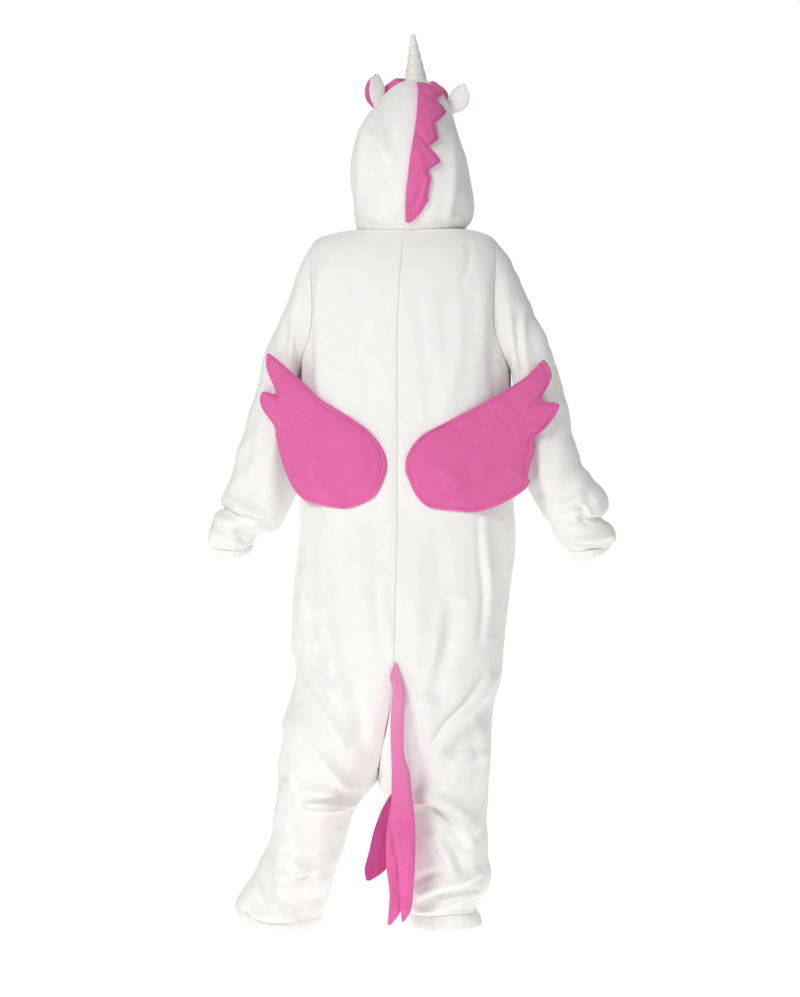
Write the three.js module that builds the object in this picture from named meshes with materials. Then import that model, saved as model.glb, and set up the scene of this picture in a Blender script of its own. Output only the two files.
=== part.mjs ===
// A hooded one-piece unicorn costume of white fleece, worn and hollow, in millimetres.
// +Z is up, +X the wearer's left, -Y the wearer's front. The origin is the middle of the neck
// base, between the shoulders. Each piece is a thin wall, or a padded shape, with its own name.
import * as THREE from "three";

const WALL = 2.2;
const BAND_WALL = 2.6;
const HALF_GAP = 0.2;
const LAY_GAP = 0.5;
const PAD_GAP = 2.2;
const STEP = 1e-3;

const WHITE = 0xf6f6f2;
const PINK = 0xe86bab;
const DEEP_PINK = 0xc94b8f;
const SATIN = 0xf3f2ee;
const BUTTON_WHITE = 0xeeeee8;

const PANEL_COLUMNS = 6;
const HOOD_COLUMNS = 8;
const ARMHOLE_STEPS = 7;

const LEFT = 1;
const RIGHT = -1;
const BACK = 1;
const FRONT = -1;

const radians = THREE.MathUtils.degToRad;
const mix = THREE.MathUtils.lerp;
const UP = new THREE.Vector3(0, 0, 1);

const garment = new THREE.Group();

// ---- tables, curves and thin walls ---------------------------------------------------------

function table(columns, rows) {
  const names = columns.split(" ");
  return rows.map((row) => Object.fromEntries(names.map((name, i) => [name, row[i]])));
}

// A table read at a fractional row, by a Catmull-Rom curve through its rows.
function sample(rows, at) {
  const last = rows.length - 1;
  const low = THREE.MathUtils.clamp(Math.floor(at), 0, last - 1);
  const part = at - low;
  const result = {};
  for (const name of Object.keys(rows[0])) {
    const [a, b, c, d] = [-1, 0, 1, 2].map((k) => rows[THREE.MathUtils.clamp(low + k, 0, last)][name]);
    const bend = 2 * a - 5 * b + 4 * c - d + part * (3 * (b - c) + d - a);
    result[name] = b + 0.5 * part * (c - a + part * bend);
  }
  return result;
}

// The fractional row where a falling column passes a value.
function rowWhere(rows, name, value) {
  const high = rows.findIndex((row) => row[name] <= value);
  const above = rows[high - 1][name];
  return high - 1 + (above - value) / (above - rows[high][name]);
}

const range = (from, to, count) => Array.from({ length: count + 1 }, (_, i) => mix(from, to, i / count));

// A closed solid between an outer and an inner grid of points. A closed grid joins its last
// column to its first; an open one gets a wall along each of its four sides.
function solidBetween(outer, inner, closed) {
  const columns = outer[0].length;
  const rows = outer.length;
  const positions = [...outer.flat(), ...inner.flat()].flatMap((p) => [p.x, p.y, p.z]);
  const index = [];
  const out = (i, j) => i * columns + (j % columns);
  const inn = (i, j) => rows * columns + i * columns + (j % columns);
  const quad = (a, b, c, d) => index.push(a, b, c, a, c, d);
  const spans = closed ? columns : columns - 1;
  for (let i = 0; i < rows - 1; i += 1) {
    for (let j = 0; j < spans; j += 1) {
      quad(out(i, j), out(i, j + 1), out(i + 1, j + 1), out(i + 1, j));
      quad(inn(i, j), inn(i + 1, j), inn(i + 1, j + 1), inn(i, j + 1));
    }
    if (!closed) {
      quad(out(i, 0), out(i + 1, 0), inn(i + 1, 0), inn(i, 0));
      quad(out(i, spans), inn(i, spans), inn(i + 1, spans), out(i + 1, spans));
    }
  }
  for (let j = 0; j < spans; j += 1) {
    quad(out(0, j), inn(0, j), inn(0, j + 1), out(0, j + 1));
    quad(out(rows - 1, j), out(rows - 1, j + 1), inn(rows - 1, j + 1), inn(rows - 1, j));
  }
  return turnedOut(positions, index);
}

// Triangles whose corners fall on one point are dropped, and the faces are turned outwards.
function turnedOut(positions, index) {
  const corner = (k) => new THREE.Vector3().fromArray(positions, 3 * k);
  const kept = [];
  let volume = 0;
  for (let k = 0; k < index.length; k += 3) {
    const [a, b, c] = [corner(index[k]), corner(index[k + 1]), corner(index[k + 2])];
    const shortest = Math.min(a.distanceTo(b), b.distanceTo(c), c.distanceTo(a));
    if (shortest > 2 * STEP) {
      kept.push(index[k], index[k + 1], index[k + 2]);
      volume += a.dot(b.cross(c));
    }
  }
  if (volume < 0) {
    kept.reverse();
  }
  const geometry = new THREE.BufferGeometry();
  geometry.setAttribute("position", new THREE.Float32BufferAttribute(positions, 3));
  geometry.setIndex(kept);
  return geometry;
}

function addPiece(name, geometry, color, roughness = 0.95) {
  const material = new THREE.MeshStandardMaterial({ color, roughness, metalness: 0 });
  const mesh = new THREE.Mesh(geometry, material);
  mesh.name = name;
  garment.add(mesh);
}

// The outward normal of a surface point(u, v), away from a middle point.
function normalAt(point, u, v, middle) {
  const alongU = point(u + STEP, v).sub(point(u - STEP, v));
  const alongV = point(u, v + STEP).sub(point(u, v - STEP));
  const normal = alongU.cross(alongV);
  if (normal.length() < 1e-9) {
    return UP.clone();
  }
  const away = point(u, v).sub(middle);
  return normal.normalize().multiplyScalar(normal.dot(away) < 0 ? -1 : 1);
}

// Points of a grid's sides are drawn in by half of the seam gap.
function drawIn(grid, sides) {
  const lastRow = grid.length - 1;
  const lastColumn = grid[0].length - 1;
  const pull = (p, q) => {
    const way = q.clone().sub(p);
    return way.length() > 1 ? way.setLength(HALF_GAP) : way.setLength(0);
  };
  const moves = [];
  grid.forEach((row, i) => {
    row.forEach((p, j) => {
      const move = new THREE.Vector3();
      if (sides.includes("first column") && j === 0) move.add(pull(p, row[1]));
      if (sides.includes("last column") && j === lastColumn) move.add(pull(p, row[j - 1]));
      if (sides.includes("first row") && i === 0) move.add(pull(p, grid[1][j]));
      if (sides.includes("last row") && i === lastRow) move.add(pull(p, grid[i - 1][j]));
      moves.push([p, move]);
    });
  });
  moves.forEach(([p, move]) => p.add(move));
}

// ---- the body: sections from the neck to the ankles -----------------------------------------

// Shoulders, chest, waist and seat. z is the side's height; dzBack and dzFront move the centre
// back and front; opens is where the half section starts, 90 flat and 180 closed at the crotch.
const TRUNK = table("z dzBack dzFront outLeft outRight seam back front opens square", [
  [12, -8, -50, 96, -112, -8, 80, 62, 90, 2.0],
  [4, -20, -58, 148, -148, -7, 101, 87, 90, 2.1],
  [-13, -35, -63, 181, -176, -6, 118, 104, 90, 2.3],
  [-60, -30, -50, 197, -196, -4, 131, 118, 90, 2.4],
  [-130, -18, -30, 203, -202, -2, 138, 125, 90, 2.4],
  [-200, -6, -12, 203, -203, 0, 141, 129, 90, 2.4],
  [-262, 0, 0, 203, -203, 0, 141, 131, 90, 2.4],
  [-350, 0, 0, 204, -204, 0, 140, 132, 90, 2.4],
  [-440, 0, 0, 206, -206, 0, 139, 133, 90, 2.3],
  [-520, 0, 0, 207, -210, 0, 139, 134, 90, 2.3],
  [-580, 0, 0, 209, -213, 0, 141, 135, 90, 2.3],
  [-640, 0, 0, 217, -209, 1, 145, 136, 90, 2.3],
  [-700, 0, 0, 222, -201, 2, 149, 136, 90, 2.3],
  [-760, 0, 0, 223, -194, 3, 151, 135, 90, 2.3],
  [-815, 0, 0, 219, -190, 4, 151, 133, 92, 2.2],
  [-860, 0, 0, 216, -184, 8, 148, 130, 98, 2.2],
  [-905, 0, 0, 227, -174, 14, 142, 125, 108, 2.1],
  [-950, 0, 0, 239, -166, 24, 134, 119, 120, 2.1],
  [-995, 0, 0, 246, -166, 36, 124, 112, 134, 2.0],
  [-1035, 0, 0, 250, -164, 47, 114, 105, 152, 2.0],
]);

// Legs, from the crotch to the ankle bands. dzOut and dzIn lift the outer and inner sides.
const LEG_COLUMNS = "z dzOut dzIn out in back front square";
const LEFT_LEG = table(LEG_COLUMNS, [
  [-1064, 0, 0, 252, 57, 107, 100, 2.0],
  [-1090, 0, 0, 254, 80, 103, 96, 2.0],
  [-1125, 0, 0, 260, 101, 98, 93, 2.0],
  [-1165, 0, 0, 265, 115, 94, 91, 2.0],
  [-1205, 2, 0, 277, 127, 92, 90, 2.0],
  [-1245, 6, 0, 297, 140, 91, 92, 2.0],
  [-1285, 14, 2, 321, 152, 90, 96, 2.0],
  [-1330, 34, 6, 334, 163, 89, 98, 2.0],
]);
const RIGHT_LEG = table(LEG_COLUMNS, [
  [-1064, 0, 0, -162, 55, 107, 100, 2.0],
  [-1090, 0, 0, -160, 41, 103, 96, 2.0],
  [-1125, 0, 0, -159, 33, 98, 93, 2.0],
  [-1165, 0, 0, -160, 30, 94, 90, 2.0],
  [-1205, 0, 0, -162, 27, 92, 88, 2.0],
  [-1245, 0, 0, -166, 25, 91, 87, 2.0],
  [-1280, 0, 0, -160, 22, 87, 84, 2.0],
  [-1300, 0, 0, -138, 18, 76, 74, 2.0],
  [-1312, 0, 0, -140, 15, 74, 72, 2.0],
]);

function halfRows(side) {
  const out = side === LEFT ? "outLeft" : "outRight";
  const trunk = TRUNK.map((row) => ({
    ...{ z: row.z, dzBack: row.dzBack, dzFront: row.dzFront, dzOut: 0, dzIn: 0, out: row[out] },
    ...{ in: row.seam + side * HALF_GAP, back: row.back, front: row.front },
    ...{ opens: row.opens, square: row.square },
  }));
  const leg = side === LEFT ? LEFT_LEG : RIGHT_LEG;
  return [...trunk, ...leg.map((row) => ({ dzBack: 0, dzFront: 0, opens: 180, ...row }))];
}
const HALF = { [LEFT]: halfRows(LEFT), [RIGHT]: halfRows(RIGHT) };

// A point of a half section at an angle: 90 centre back, 0 the side, -90 centre front. The
// section is a superellipse between its outer side and its seam.
function sectionPoint(row, side, angle) {
  const c = Math.cos(angle);
  const s = Math.sin(angle);
  const power = 2 / row.square;
  const bent = (value) => Math.sign(value) * Math.abs(value) ** power;
  const opens = Math.abs(Math.cos(radians(row.opens)));
  const half = Math.abs(row.out - row.in) / (1 + opens ** power);
  const x = row.out + side * half * (bent(c) - 1);
  const y = (s > 0 ? row.back : row.front) * bent(s);
  const drop = (s > 0 ? row.dzBack : row.dzFront) * s * s;
  const lift = (c > 0 ? row.dzOut : row.dzIn) * c * c;
  return new THREE.Vector3(x, y, row.z + drop + lift);
}

// The largest folds: soft ridges (depth above 0) and troughs along a straight line, seen from
// the back (face 1) or the front (face -1), fading at both ends and towards the side seams.
const FOLDS = table("face x1 z1 x2 z2 width depth", [
  [1, 176, -60, 178, -330, 16, -9],
  [1, -186, -60, -180, -330, 16, -8],
  [1, 215, -700, 120, -930, 26, 9],
  [1, 200, -820, 100, -1060, 24, 10],
  [1, 170, -1092, 100, -1096, 14, -12],
  [1, -176, -850, -60, -1010, 26, 8],
  [1, -45, -1106, -130, -1190, 18, -10],
  [1, -30, -1250, -160, -1215, 16, 9],
  [1, 150, -560, 125, -880, 24, 6],
  [1, -150, -545, -165, -760, 18, 7],
  [1, 150, -1230, 250, -1290, 22, -8],
  [-1, 150, -820, 60, -1020, 28, 8],
  [-1, -150, -820, -60, -1020, 28, 8],
  [-1, 90, -1110, 230, -1125, 16, -9],
  [-1, -10, -1110, -150, -1125, 16, -9],
]);

function foldHeight(x, z, sine) {
  let height = 0;
  for (const fold of FOLDS) {
    const run = new THREE.Vector2(fold.x2 - fold.x1, fold.z2 - fold.z1);
    const from = new THREE.Vector2(x - fold.x1, z - fold.z1);
    const along = from.dot(run) / run.lengthSq();
    const across = from.cross(run) / run.length();
    const ends = along > 0 && along < 1 ? Math.sin(Math.PI * along) ** 0.7 : 0;
    const facing = THREE.MathUtils.smoothstep(sine * fold.face, 0.05, 0.4);
    height += fold.depth * ends * facing * Math.exp(-((across / fold.width) ** 2));
  }
  return height;
}

function bodyPlain(side, at, angle) {
  return sectionPoint(sample(HALF[side], at), side, angle);
}

function bodyNormal(side, at, angle) {
  const row = sample(HALF[side], at);
  const opens = Math.abs(Math.cos(radians(row.opens))) ** (2 / row.square);
  const middle = new THREE.Vector3(row.out - side * Math.abs(row.out - row.in) / (1 + opens), 0, row.z);
  return normalAt((u, v) => bodyPlain(side, u, v), at, angle, middle);
}

function bodyPoint(side, at, angle) {
  const point = bodyPlain(side, at, angle);
  const height = foldHeight(point.x, point.z, Math.sin(angle));
  return point.addScaledVector(bodyNormal(side, at, angle), height);
}

// The armhole is an ellipse in height and angle, from the shoulder point to the underarm.
const ARMHOLE_TOP = 2;
const ARMHOLE_BOTTOM = 6;
const ARMHOLE_ANGLE = radians(30);
const armholeAt = (turn) => {
  const z = (TRUNK[ARMHOLE_TOP].z + TRUNK[ARMHOLE_BOTTOM].z) / 2
    + ((TRUNK[ARMHOLE_TOP].z - TRUNK[ARMHOLE_BOTTOM].z) / 2) * Math.cos(turn);
  const at = THREE.MathUtils.clamp(rowWhere(TRUNK, "z", z), ARMHOLE_TOP, ARMHOLE_BOTTOM);
  return { at, angle: ARMHOLE_ANGLE * Math.sin(turn) };
};

// One of the four body panels, from the neck seam to the ankle band.
function bodyPanel(side, face) {
  const holes = range(0, Math.PI, ARMHOLE_STEPS).map(armholeAt);
  const levels = [
    ...[0, 1].map((at) => ({ at, angle: 0 })),
    ...holes,
    ...range(ARMHOLE_BOTTOM + 1, HALF[side].length - 1, HALF[side].length - ARMHOLE_BOTTOM - 2).map(
      (at) => ({ at, angle: 0 }),
    ),
  ];
  const outer = [];
  const normals = [];
  for (const level of levels) {
    const start = radians(sample(HALF[side], level.at).opens);
    const angles = range(start, level.angle, PANEL_COLUMNS).map((angle) => face * angle);
    outer.push(angles.map((angle) => bodyPoint(side, level.at, angle)));
    const levelled = level.at === HALF[side].length - 1 ? 0 : 1;
    normals.push(angles.map((angle) => {
      const normal = bodyNormal(side, level.at, angle);
      return normal.setZ(normal.z * levelled).normalize();
    }));
  }
  drawIn(outer, ["first column", "last column", "first row", "last row"]);
  const inner = outer.map((row, i) => row.map((p, j) => p.clone().addScaledVector(normals[i][j], -WALL)));
  return solidBetween(outer, inner, false);
}

addPiece("back_left", bodyPanel(LEFT, BACK), WHITE);
addPiece("back_right", bodyPanel(RIGHT, BACK), WHITE);
addPiece("front_left", bodyPanel(LEFT, FRONT), WHITE);
addPiece("front_right", bodyPanel(RIGHT, FRONT), WHITE);

// Ankle bands: each goes on from the leg's last section to the hem.
function ankleBand(side, hem) {
  const rows = HALF[side];
  const last = { ...rows[rows.length - 1] };
  const sections = [last, { ...last, ...hem }];
  const outer = [];
  const inner = [];
  sections.forEach((row, i) => {
    const down = i === 0 ? -2 * HALF_GAP : 0;
    const turns = range(0, 2 * Math.PI, 2 * PANEL_COLUMNS).slice(0, -1);
    const ring = turns.map((turn) => sectionPoint(row, side, Math.PI - turn));
    const middle = new THREE.Vector3((row.out + row.in) / 2, 0, row.z);
    outer.push(ring.map((p) => p.clone().setZ(p.z + down)));
    inner.push(ring.map((p) => {
      const away = p.clone().sub(middle).setZ(0);
      return p.clone().addScaledVector(away.normalize(), -BAND_WALL).setZ(p.z + down);
    }));
  });
  return solidBetween(outer, inner, true);
}
addPiece("ankle_band_left", ankleBand(LEFT, { z: -1358, dzOut: 40, dzIn: 10, out: 337, in: 170 }), WHITE);
addPiece("ankle_band_right", ankleBand(RIGHT, { z: -1343, dzOut: 4, dzIn: 14, out: -150, in: 18 }), WHITE);

// ---- the sleeves ------------------------------------------------------------------------------

// Each ring runs from an outer to an inner point of the sleeve's outline, half deep front and
// back about midY; sag lowers its back.
const SLEEVE_COLUMNS = "outX outZ inX inZ half midY sag";
const SLEEVE = {
  [LEFT]: table(SLEEVE_COLUMNS, [
    [200, -42, 207, -274, 73, 0, 0],
    [214, -76, 210, -294, 73, 0, 0],
    [232, -124, 211, -322, 73, -1, 0],
    [250, -170, 212, -352, 72, -2, 0],
    [268, -216, 212, -384, 72, -3, 0],
    [285, -262, 212, -416, 71, -5, 0],
    [301, -308, 212, -446, 70, -7, 0],
    [316, -359, 213, -472, 70, -10, 0],
    [331, -412, 217, -494, 70, -13, 0],
    [346, -462, 225, -516, 70, -16, 0],
    [365, -513, 240, -546, 70, -19, 0],
    [363, -525, 260, -574, 66, -20, 0],
    [357, -530, 286, -581, 56, -21, 0],
    [376, -539, 297, -584, 55, -22, 0],
    [390, -558, 301, -592, 57, -23, 2],
    [398, -590, 305, -601, 55, -24, 6],
    [388, -604, 308, -604, 44, -25, 10],
  ]),
  [RIGHT]: table(SLEEVE_COLUMNS, [
    [-198, -42, -207, -274, 73, 0, 0],
    [-214, -76, -210, -294, 73, 0, 0],
    [-234, -118, -211, -320, 73, -1, 0],
    [-252, -160, -212, -346, 72, -2, 0],
    [-272, -202, -213, -372, 72, -3, 0],
    [-289, -244, -214, -397, 71, -5, 0],
    [-303, -290, -217, -420, 70, -7, 0],
    [-315, -340, -221, -442, 70, -10, 0],
    [-322, -386, -228, -462, 70, -13, 0],
    [-334, -422, -235, -484, 70, -16, 0],
    [-341, -449, -243, -503, 70, -18, 0],
    [-362, -472, -252, -520, 70, -19, 0],
    [-387, -500, -262, -536, 68, -20, 0],
    [-392, -532, -278, -556, 64, -21, 0],
    [-372, -548, -284, -568, 56, -22, 0],
    [-398, -564, -288, -580, 57, -23, 2],
    [-406, -587, -303, -600, 55, -24, 4],
    [-398, -601, -314, -609, 44, -25, 8],
  ]),
};

function sleevePoint(row, turn) {
  const outer = new THREE.Vector3(row.outX, row.midY, row.outZ);
  const inner = new THREE.Vector3(row.inX, row.midY, row.inZ);
  const centre = outer.clone().add(inner).multiplyScalar(0.5);
  const sag = row.sag * Math.max(0, Math.sin(turn));
  return outer.sub(centre).multiplyScalar(Math.cos(turn)).add(centre)
    .add(new THREE.Vector3(0, row.half * Math.sin(turn), -sag));
}

const RING_TURNS = range(0, 2 * Math.PI, 2 * ARMHOLE_STEPS).slice(0, -1);

// A ring's outward directions: across both its own line and the sleeve's run, and straight out
// from its middle at a seam with a band.
function ringNormals(rings, i, atSeam) {
  const before = rings[Math.max(i - 1, 0)];
  const after = rings[Math.min(i + 1, rings.length - 1)];
  const count = rings[i].length;
  const middle = rings[i].reduce((sum, p) => sum.add(p), new THREE.Vector3()).divideScalar(count);
  if (atSeam) {
    return rings[i].map((p) => p.clone().sub(middle).normalize());
  }
  return rings[i].map((p, j) => {
    const round = rings[i][(j + 1) % count].clone().sub(rings[i][(j + count - 1) % count]);
    const run = after[j].clone().sub(before[j]);
    const normal = round.cross(run).normalize();
    return normal.multiplyScalar(normal.dot(p.clone().sub(middle)) < 0 ? -1 : 1);
  });
}

function sleeve(side) {
  const hole = RING_TURNS.map((turn) => {
    const { at, angle } = armholeAt(turn <= Math.PI ? turn : 2 * Math.PI - turn);
    return bodyPoint(side, at, turn <= Math.PI ? angle : -angle);
  });
  const rings = [hole, ...SLEEVE[side].map((row) => RING_TURNS.map((turn) => sleevePoint(row, turn)))];
  hole.forEach((p, j) => p.add(rings[1][j].clone().sub(p).setLength(2 * HALF_GAP)));
  const inner = rings.map((ring, i) => {
    const normals = ringNormals(rings, i, i === rings.length - 1);
    return ring.map((p, j) => p.clone().addScaledVector(normals[j], -WALL));
  });
  return solidBetween(rings, inner, true);
}
addPiece("sleeve_left", sleeve(LEFT), WHITE);
addPiece("sleeve_right", sleeve(RIGHT), WHITE);

// Wrist bands: each goes on from the sleeve's last ring.
function wristBand(side, end) {
  const last = SLEEVE[side][SLEEVE[side].length - 1];
  const ends = [last, { ...last, ...end }];
  const rings = ends.map((row) => RING_TURNS.map((turn) => sleevePoint(row, turn)));
  rings[0].forEach((p, j) => p.add(rings[1][j].clone().sub(p).setLength(2 * HALF_GAP)));
  const inner = rings.map((ring, i) => {
    const normals = ringNormals(rings, i, true);
    return ring.map((p, j) => p.clone().addScaledVector(normals[j], -BAND_WALL));
  });
  return solidBetween(rings, inner, true);
}
const LEFT_WRIST = { outX: 380, outZ: -620, inX: 311, inZ: -616, half: 40, sag: 12 };
const RIGHT_WRIST = { outX: -390, outZ: -614, inX: -326, inZ: -628, half: 40, sag: 9 };
addPiece("wrist_band_left", wristBand(LEFT, LEFT_WRIST), WHITE);
addPiece("wrist_band_right", wristBand(RIGHT, RIGHT_WRIST), WHITE);

// ---- the hood -----------------------------------------------------------------------------------

// Sections from the neck seam to the crown; edge is where the face opening cuts the section.
const HOOD = table("z dzBack dzFront outLeft outRight seam back front edge square", [
  [12, -8, -50, 96, -112, -8, 80, 62, -84, 2.0],
  [16, -9, -48, 100, -126, -9, 92, 70, -76, 2.0],
  [34, -6, -40, 101, -133, -11, 104, 80, -63, 2.1],
  [66, -2, -24, 102, -133, -14, 114, 90, -51, 2.1],
  [104, 0, -8, 107, -127, -19, 120, 98, -43, 2.1],
  [142, 0, 0, 108, -120, -24, 121, 102, -40, 2.1],
  [176, 0, 0, 103, -109, -29, 116, 103, -41, 2.1],
  [206, 0, 0, 92, -99, -32, 106, 102, -47, 2.0],
  [232, 0, 0, 74, -92, -33, 93, 98, -58, 2.0],
  [254, 0, 0, 58, -84, -32, 78, 92, -72, 2.0],
  [272, 0, 0, 44, -74, -30, 62, 82, -90, 2.0],
  [286, 0, 0, 30, -61, -26, 46, 64, -90, 2.0],
  [297, 0, 0, 14, -47, -22, 28, 42, -90, 2.0],
  [303, 0, 0, -3, -34, -20, 13, 19, -90, 2.0],
  [305, 0, 0, -13, -25, -19, 6, 6, -90, 2.0],
]);
const CROWN = HOOD.length - 1;

function hoodPoint(side, at, angle) {
  const row = sample(HOOD, at);
  const out = side === LEFT ? row.outLeft : row.outRight;
  const seam = row.seam + side * HALF_GAP;
  return sectionPoint({ ...row, dzOut: 0, dzIn: 0, out, in: seam, opens: 90 }, side, angle);
}

function hoodNormal(side, at, angle) {
  const row = sample(HOOD, at);
  const middle = new THREE.Vector3(row.seam, 0, Math.min(row.z, 150));
  return normalAt((u, v) => hoodPoint(side, u, v), Math.min(at, CROWN - 0.02), angle, middle);
}

function hoodHalf(side) {
  const outer = [];
  const inner = [];
  for (let at = 0; at <= CROWN; at += 1) {
    const angles = range(radians(90), radians(HOOD[at].edge), HOOD_COLUMNS);
    outer.push(angles.map((angle) => hoodPoint(side, at, angle)));
    inner.push(angles.map((angle) => hoodPoint(side, at, angle)
      .addScaledVector(hoodNormal(side, at, angle), -WALL)));
  }
  [...outer[0], ...inner[0]].forEach((p) => p.setZ(p.z + 2 * HALF_GAP));
  return solidBetween(outer, inner, false);
}
addPiece("hood_left", hoodHalf(LEFT), WHITE);
addPiece("hood_right", hoodHalf(RIGHT), WHITE);

// A padded piece on the hood: its underside is made from the hood's points, moved out.
function hoodPad(rows, columns, place, thickness) {
  const under = [];
  const over = [];
  for (let i = 0; i <= rows; i += 1) {
    under.push([]);
    over.push([]);
    for (let j = 0; j <= columns; j += 1) {
      const { side, at, angle } = place(i / rows, j / columns);
      const normal = hoodNormal(side, at, angle);
      const point = hoodPoint(side, at, angle).addScaledVector(normal, PAD_GAP);
      under[i].push(point);
      over[i].push(point.clone().addScaledVector(normal, thickness(i / rows, j / columns)));
    }
  }
  return solidBetween(over, under, false);
}

// The mane is let into the hood's seam and lies on the right half, with a scalloped edge.
const MANE = table("at reach", [
  [11.6, 14], [10.0, 58], [9.0, 34], [7.9, 56], [6.9, 35], [5.9, 56], [5.4, 36],
  [4.7, 70], [4.2, 42], [3.8, 52], [3.1, 48], [2.8, 50], [2.2, 32], [1.6, 8],
]);
const MANE_ROOT = 4;
const MANE_EDGE = 3;
const MANE_PAD = 7;
const MANE_LEAST_REACH = 4;
const MANE_LAST_ANGLE = radians(84);
const SEAM_ANGLE = radians(90);
const SMALL_TURN = 0.01;
const manePlace = (v, w) => {
  const row = sample(MANE, v * (MANE.length - 1));
  const onSeam = hoodPoint(RIGHT, row.at, SEAM_ANGLE);
  const arc = hoodPoint(RIGHT, row.at, SEAM_ANGLE - SMALL_TURN).distanceTo(onSeam) / SMALL_TURN;
  const away = (1 + w * Math.max(row.reach, MANE_LEAST_REACH)) / arc;
  return { side: RIGHT, at: row.at, angle: SEAM_ANGLE - Math.min(away, MANE_LAST_ANGLE) };
};
const maneThickness = (v, w) => MANE_EDGE + MANE_ROOT * (1 - w) * (1 - w)
  + MANE_PAD * Math.sin(Math.PI * w) * Math.sin(Math.PI * Math.min(0.95, v + 0.05));
addPiece("mane", hoodPad(26, 3, manePlace, maneThickness), PINK);

// The forelock falls from the crown over the front of the hood, to both sides of the horn.
const FORELOCK_PAD = 13;
const FORELOCK_EDGE = 4;
const FORELOCK_LOCKS = 4;
const FORELOCK_TOP = 12.1;
const FORELOCK_END = 9.4;
const FORELOCK_SPREAD = radians(158);
const FORELOCK_SIDE_LENGTH = 0.55;
const LOCK_DEPTH = 0.5;
const forelockPlace = (v, w) => {
  const turn = mix(-0.5, 0.5, w) * FORELOCK_SPREAD;
  const locks = LOCK_DEPTH * Math.abs(Math.sin(Math.PI * FORELOCK_LOCKS * w));
  const length = mix(FORELOCK_SIDE_LENGTH, 1, Math.cos(turn));
  const at = mix(FORELOCK_TOP, FORELOCK_END - locks, v * length);
  return { side: turn >= 0 ? RIGHT : LEFT, at, angle: radians(-90) + Math.abs(turn) };
};
const forelockThickness = (v, w) => FORELOCK_EDGE
  + FORELOCK_PAD * Math.sin(Math.PI * (0.12 + 0.8 * v)) * Math.sqrt(Math.sin(Math.PI * (0.04 + 0.92 * w)));
addPiece("forelock", hoodPad(4, 14, forelockPlace, forelockThickness), PINK);

// Each ear is a leaf, curled about its middle line: a white back and a pink face.
const EAR_HEIGHT = 66;
const EAR_HALF_WIDTH = 21;
const EAR_WALL = 2.2;
const EAR_SHAPE = table("half", [[0.62], [0.9], [1.0], [0.88], [0.55], [0.05]]);
const EARS = [
  { name: "left", base: [58, 8, 257], up: [0.06, -0.04, 1], face: [0.84, 0.42, -0.05], curl: 17 },
  { name: "right", base: [-96, 2, 243], up: [-0.5, 0.05, 0.86], face: [-0.5, -0.82, 0.1], curl: 10 },
];

function earLeaf(ear, scale, from, to) {
  const up = new THREE.Vector3(...ear.up).normalize();
  const face = new THREE.Vector3(...ear.face);
  face.addScaledVector(up, -face.dot(up)).normalize();
  const across = up.clone().cross(face);
  const steps = EAR_SHAPE.length - 1;
  const layer = (depth) => EAR_SHAPE.map((row, i) => range(-1, 1, 4).map((u) => {
    const v = i / steps;
    return new THREE.Vector3(...ear.base)
      .addScaledVector(up, EAR_HEIGHT * (0.5 * (1 - scale) + scale * v))
      .addScaledVector(across, EAR_HALF_WIDTH * scale * row.half * u)
      .addScaledVector(face, depth + ear.curl * row.half * u * u);
  }));
  return solidBetween(layer(from), layer(to), false);
}
for (const ear of EARS) {
  addPiece(`ear_${ear.name}_back`, earLeaf(ear, 1, 0, EAR_WALL), WHITE);
  addPiece(`ear_${ear.name}_face`, earLeaf(ear, 0.92, EAR_WALL + 0.4, 2 * EAR_WALL + 0.4), PINK);
}

// The horn is a stuffed satin cone wound round with a cord, upright on the crown.
const HORN_BASE = new THREE.Vector3(-19, -8, 306.2);
const HORN_TIP = new THREE.Vector3(-12, -12, 396);
const HORN_RADIUS = 22;
const HORN_WRAPS = 5;
const HORN_GROOVE = 1.6;
const HORN_SIDES = 12;
const HORN_RINGS = 15;

function horn() {
  const positions = [HORN_BASE, HORN_TIP].flatMap((p) => p.toArray());
  const index = [];
  for (let i = 0; i <= HORN_RINGS; i += 1) {
    const v = i / HORN_RINGS;
    for (let j = 0; j < HORN_SIDES; j += 1) {
      const turn = (2 * Math.PI * j) / HORN_SIDES;
      const wave = (HORN_WRAPS * v + j / HORN_SIDES) % 1;
      const radius = HORN_RADIUS * (1 - 0.86 * v) - HORN_GROOVE * Math.cos(2 * Math.PI * wave);
      const centre = HORN_BASE.clone().lerp(HORN_TIP, 0.97 * v);
      positions.push(centre.x + radius * Math.cos(turn), centre.y + radius * Math.sin(turn), centre.z);
    }
  }
  const ring = (i, j) => 2 + i * HORN_SIDES + (j % HORN_SIDES);
  for (let j = 0; j < HORN_SIDES; j += 1) {
    index.push(0, ring(0, j + 1), ring(0, j));
    index.push(1, ring(HORN_RINGS, j), ring(HORN_RINGS, j + 1));
    for (let i = 0; i < HORN_RINGS; i += 1) {
      index.push(ring(i, j), ring(i, j + 1), ring(i + 1, j + 1));
      index.push(ring(i, j), ring(i + 1, j + 1), ring(i + 1, j));
    }
  }
  return turnedOut(positions, index);
}
addPiece("horn", horn(), SATIN, 0.4);

// ---- the wings, laid on the back and bridging to the sleeves -------------------------------------

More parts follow.
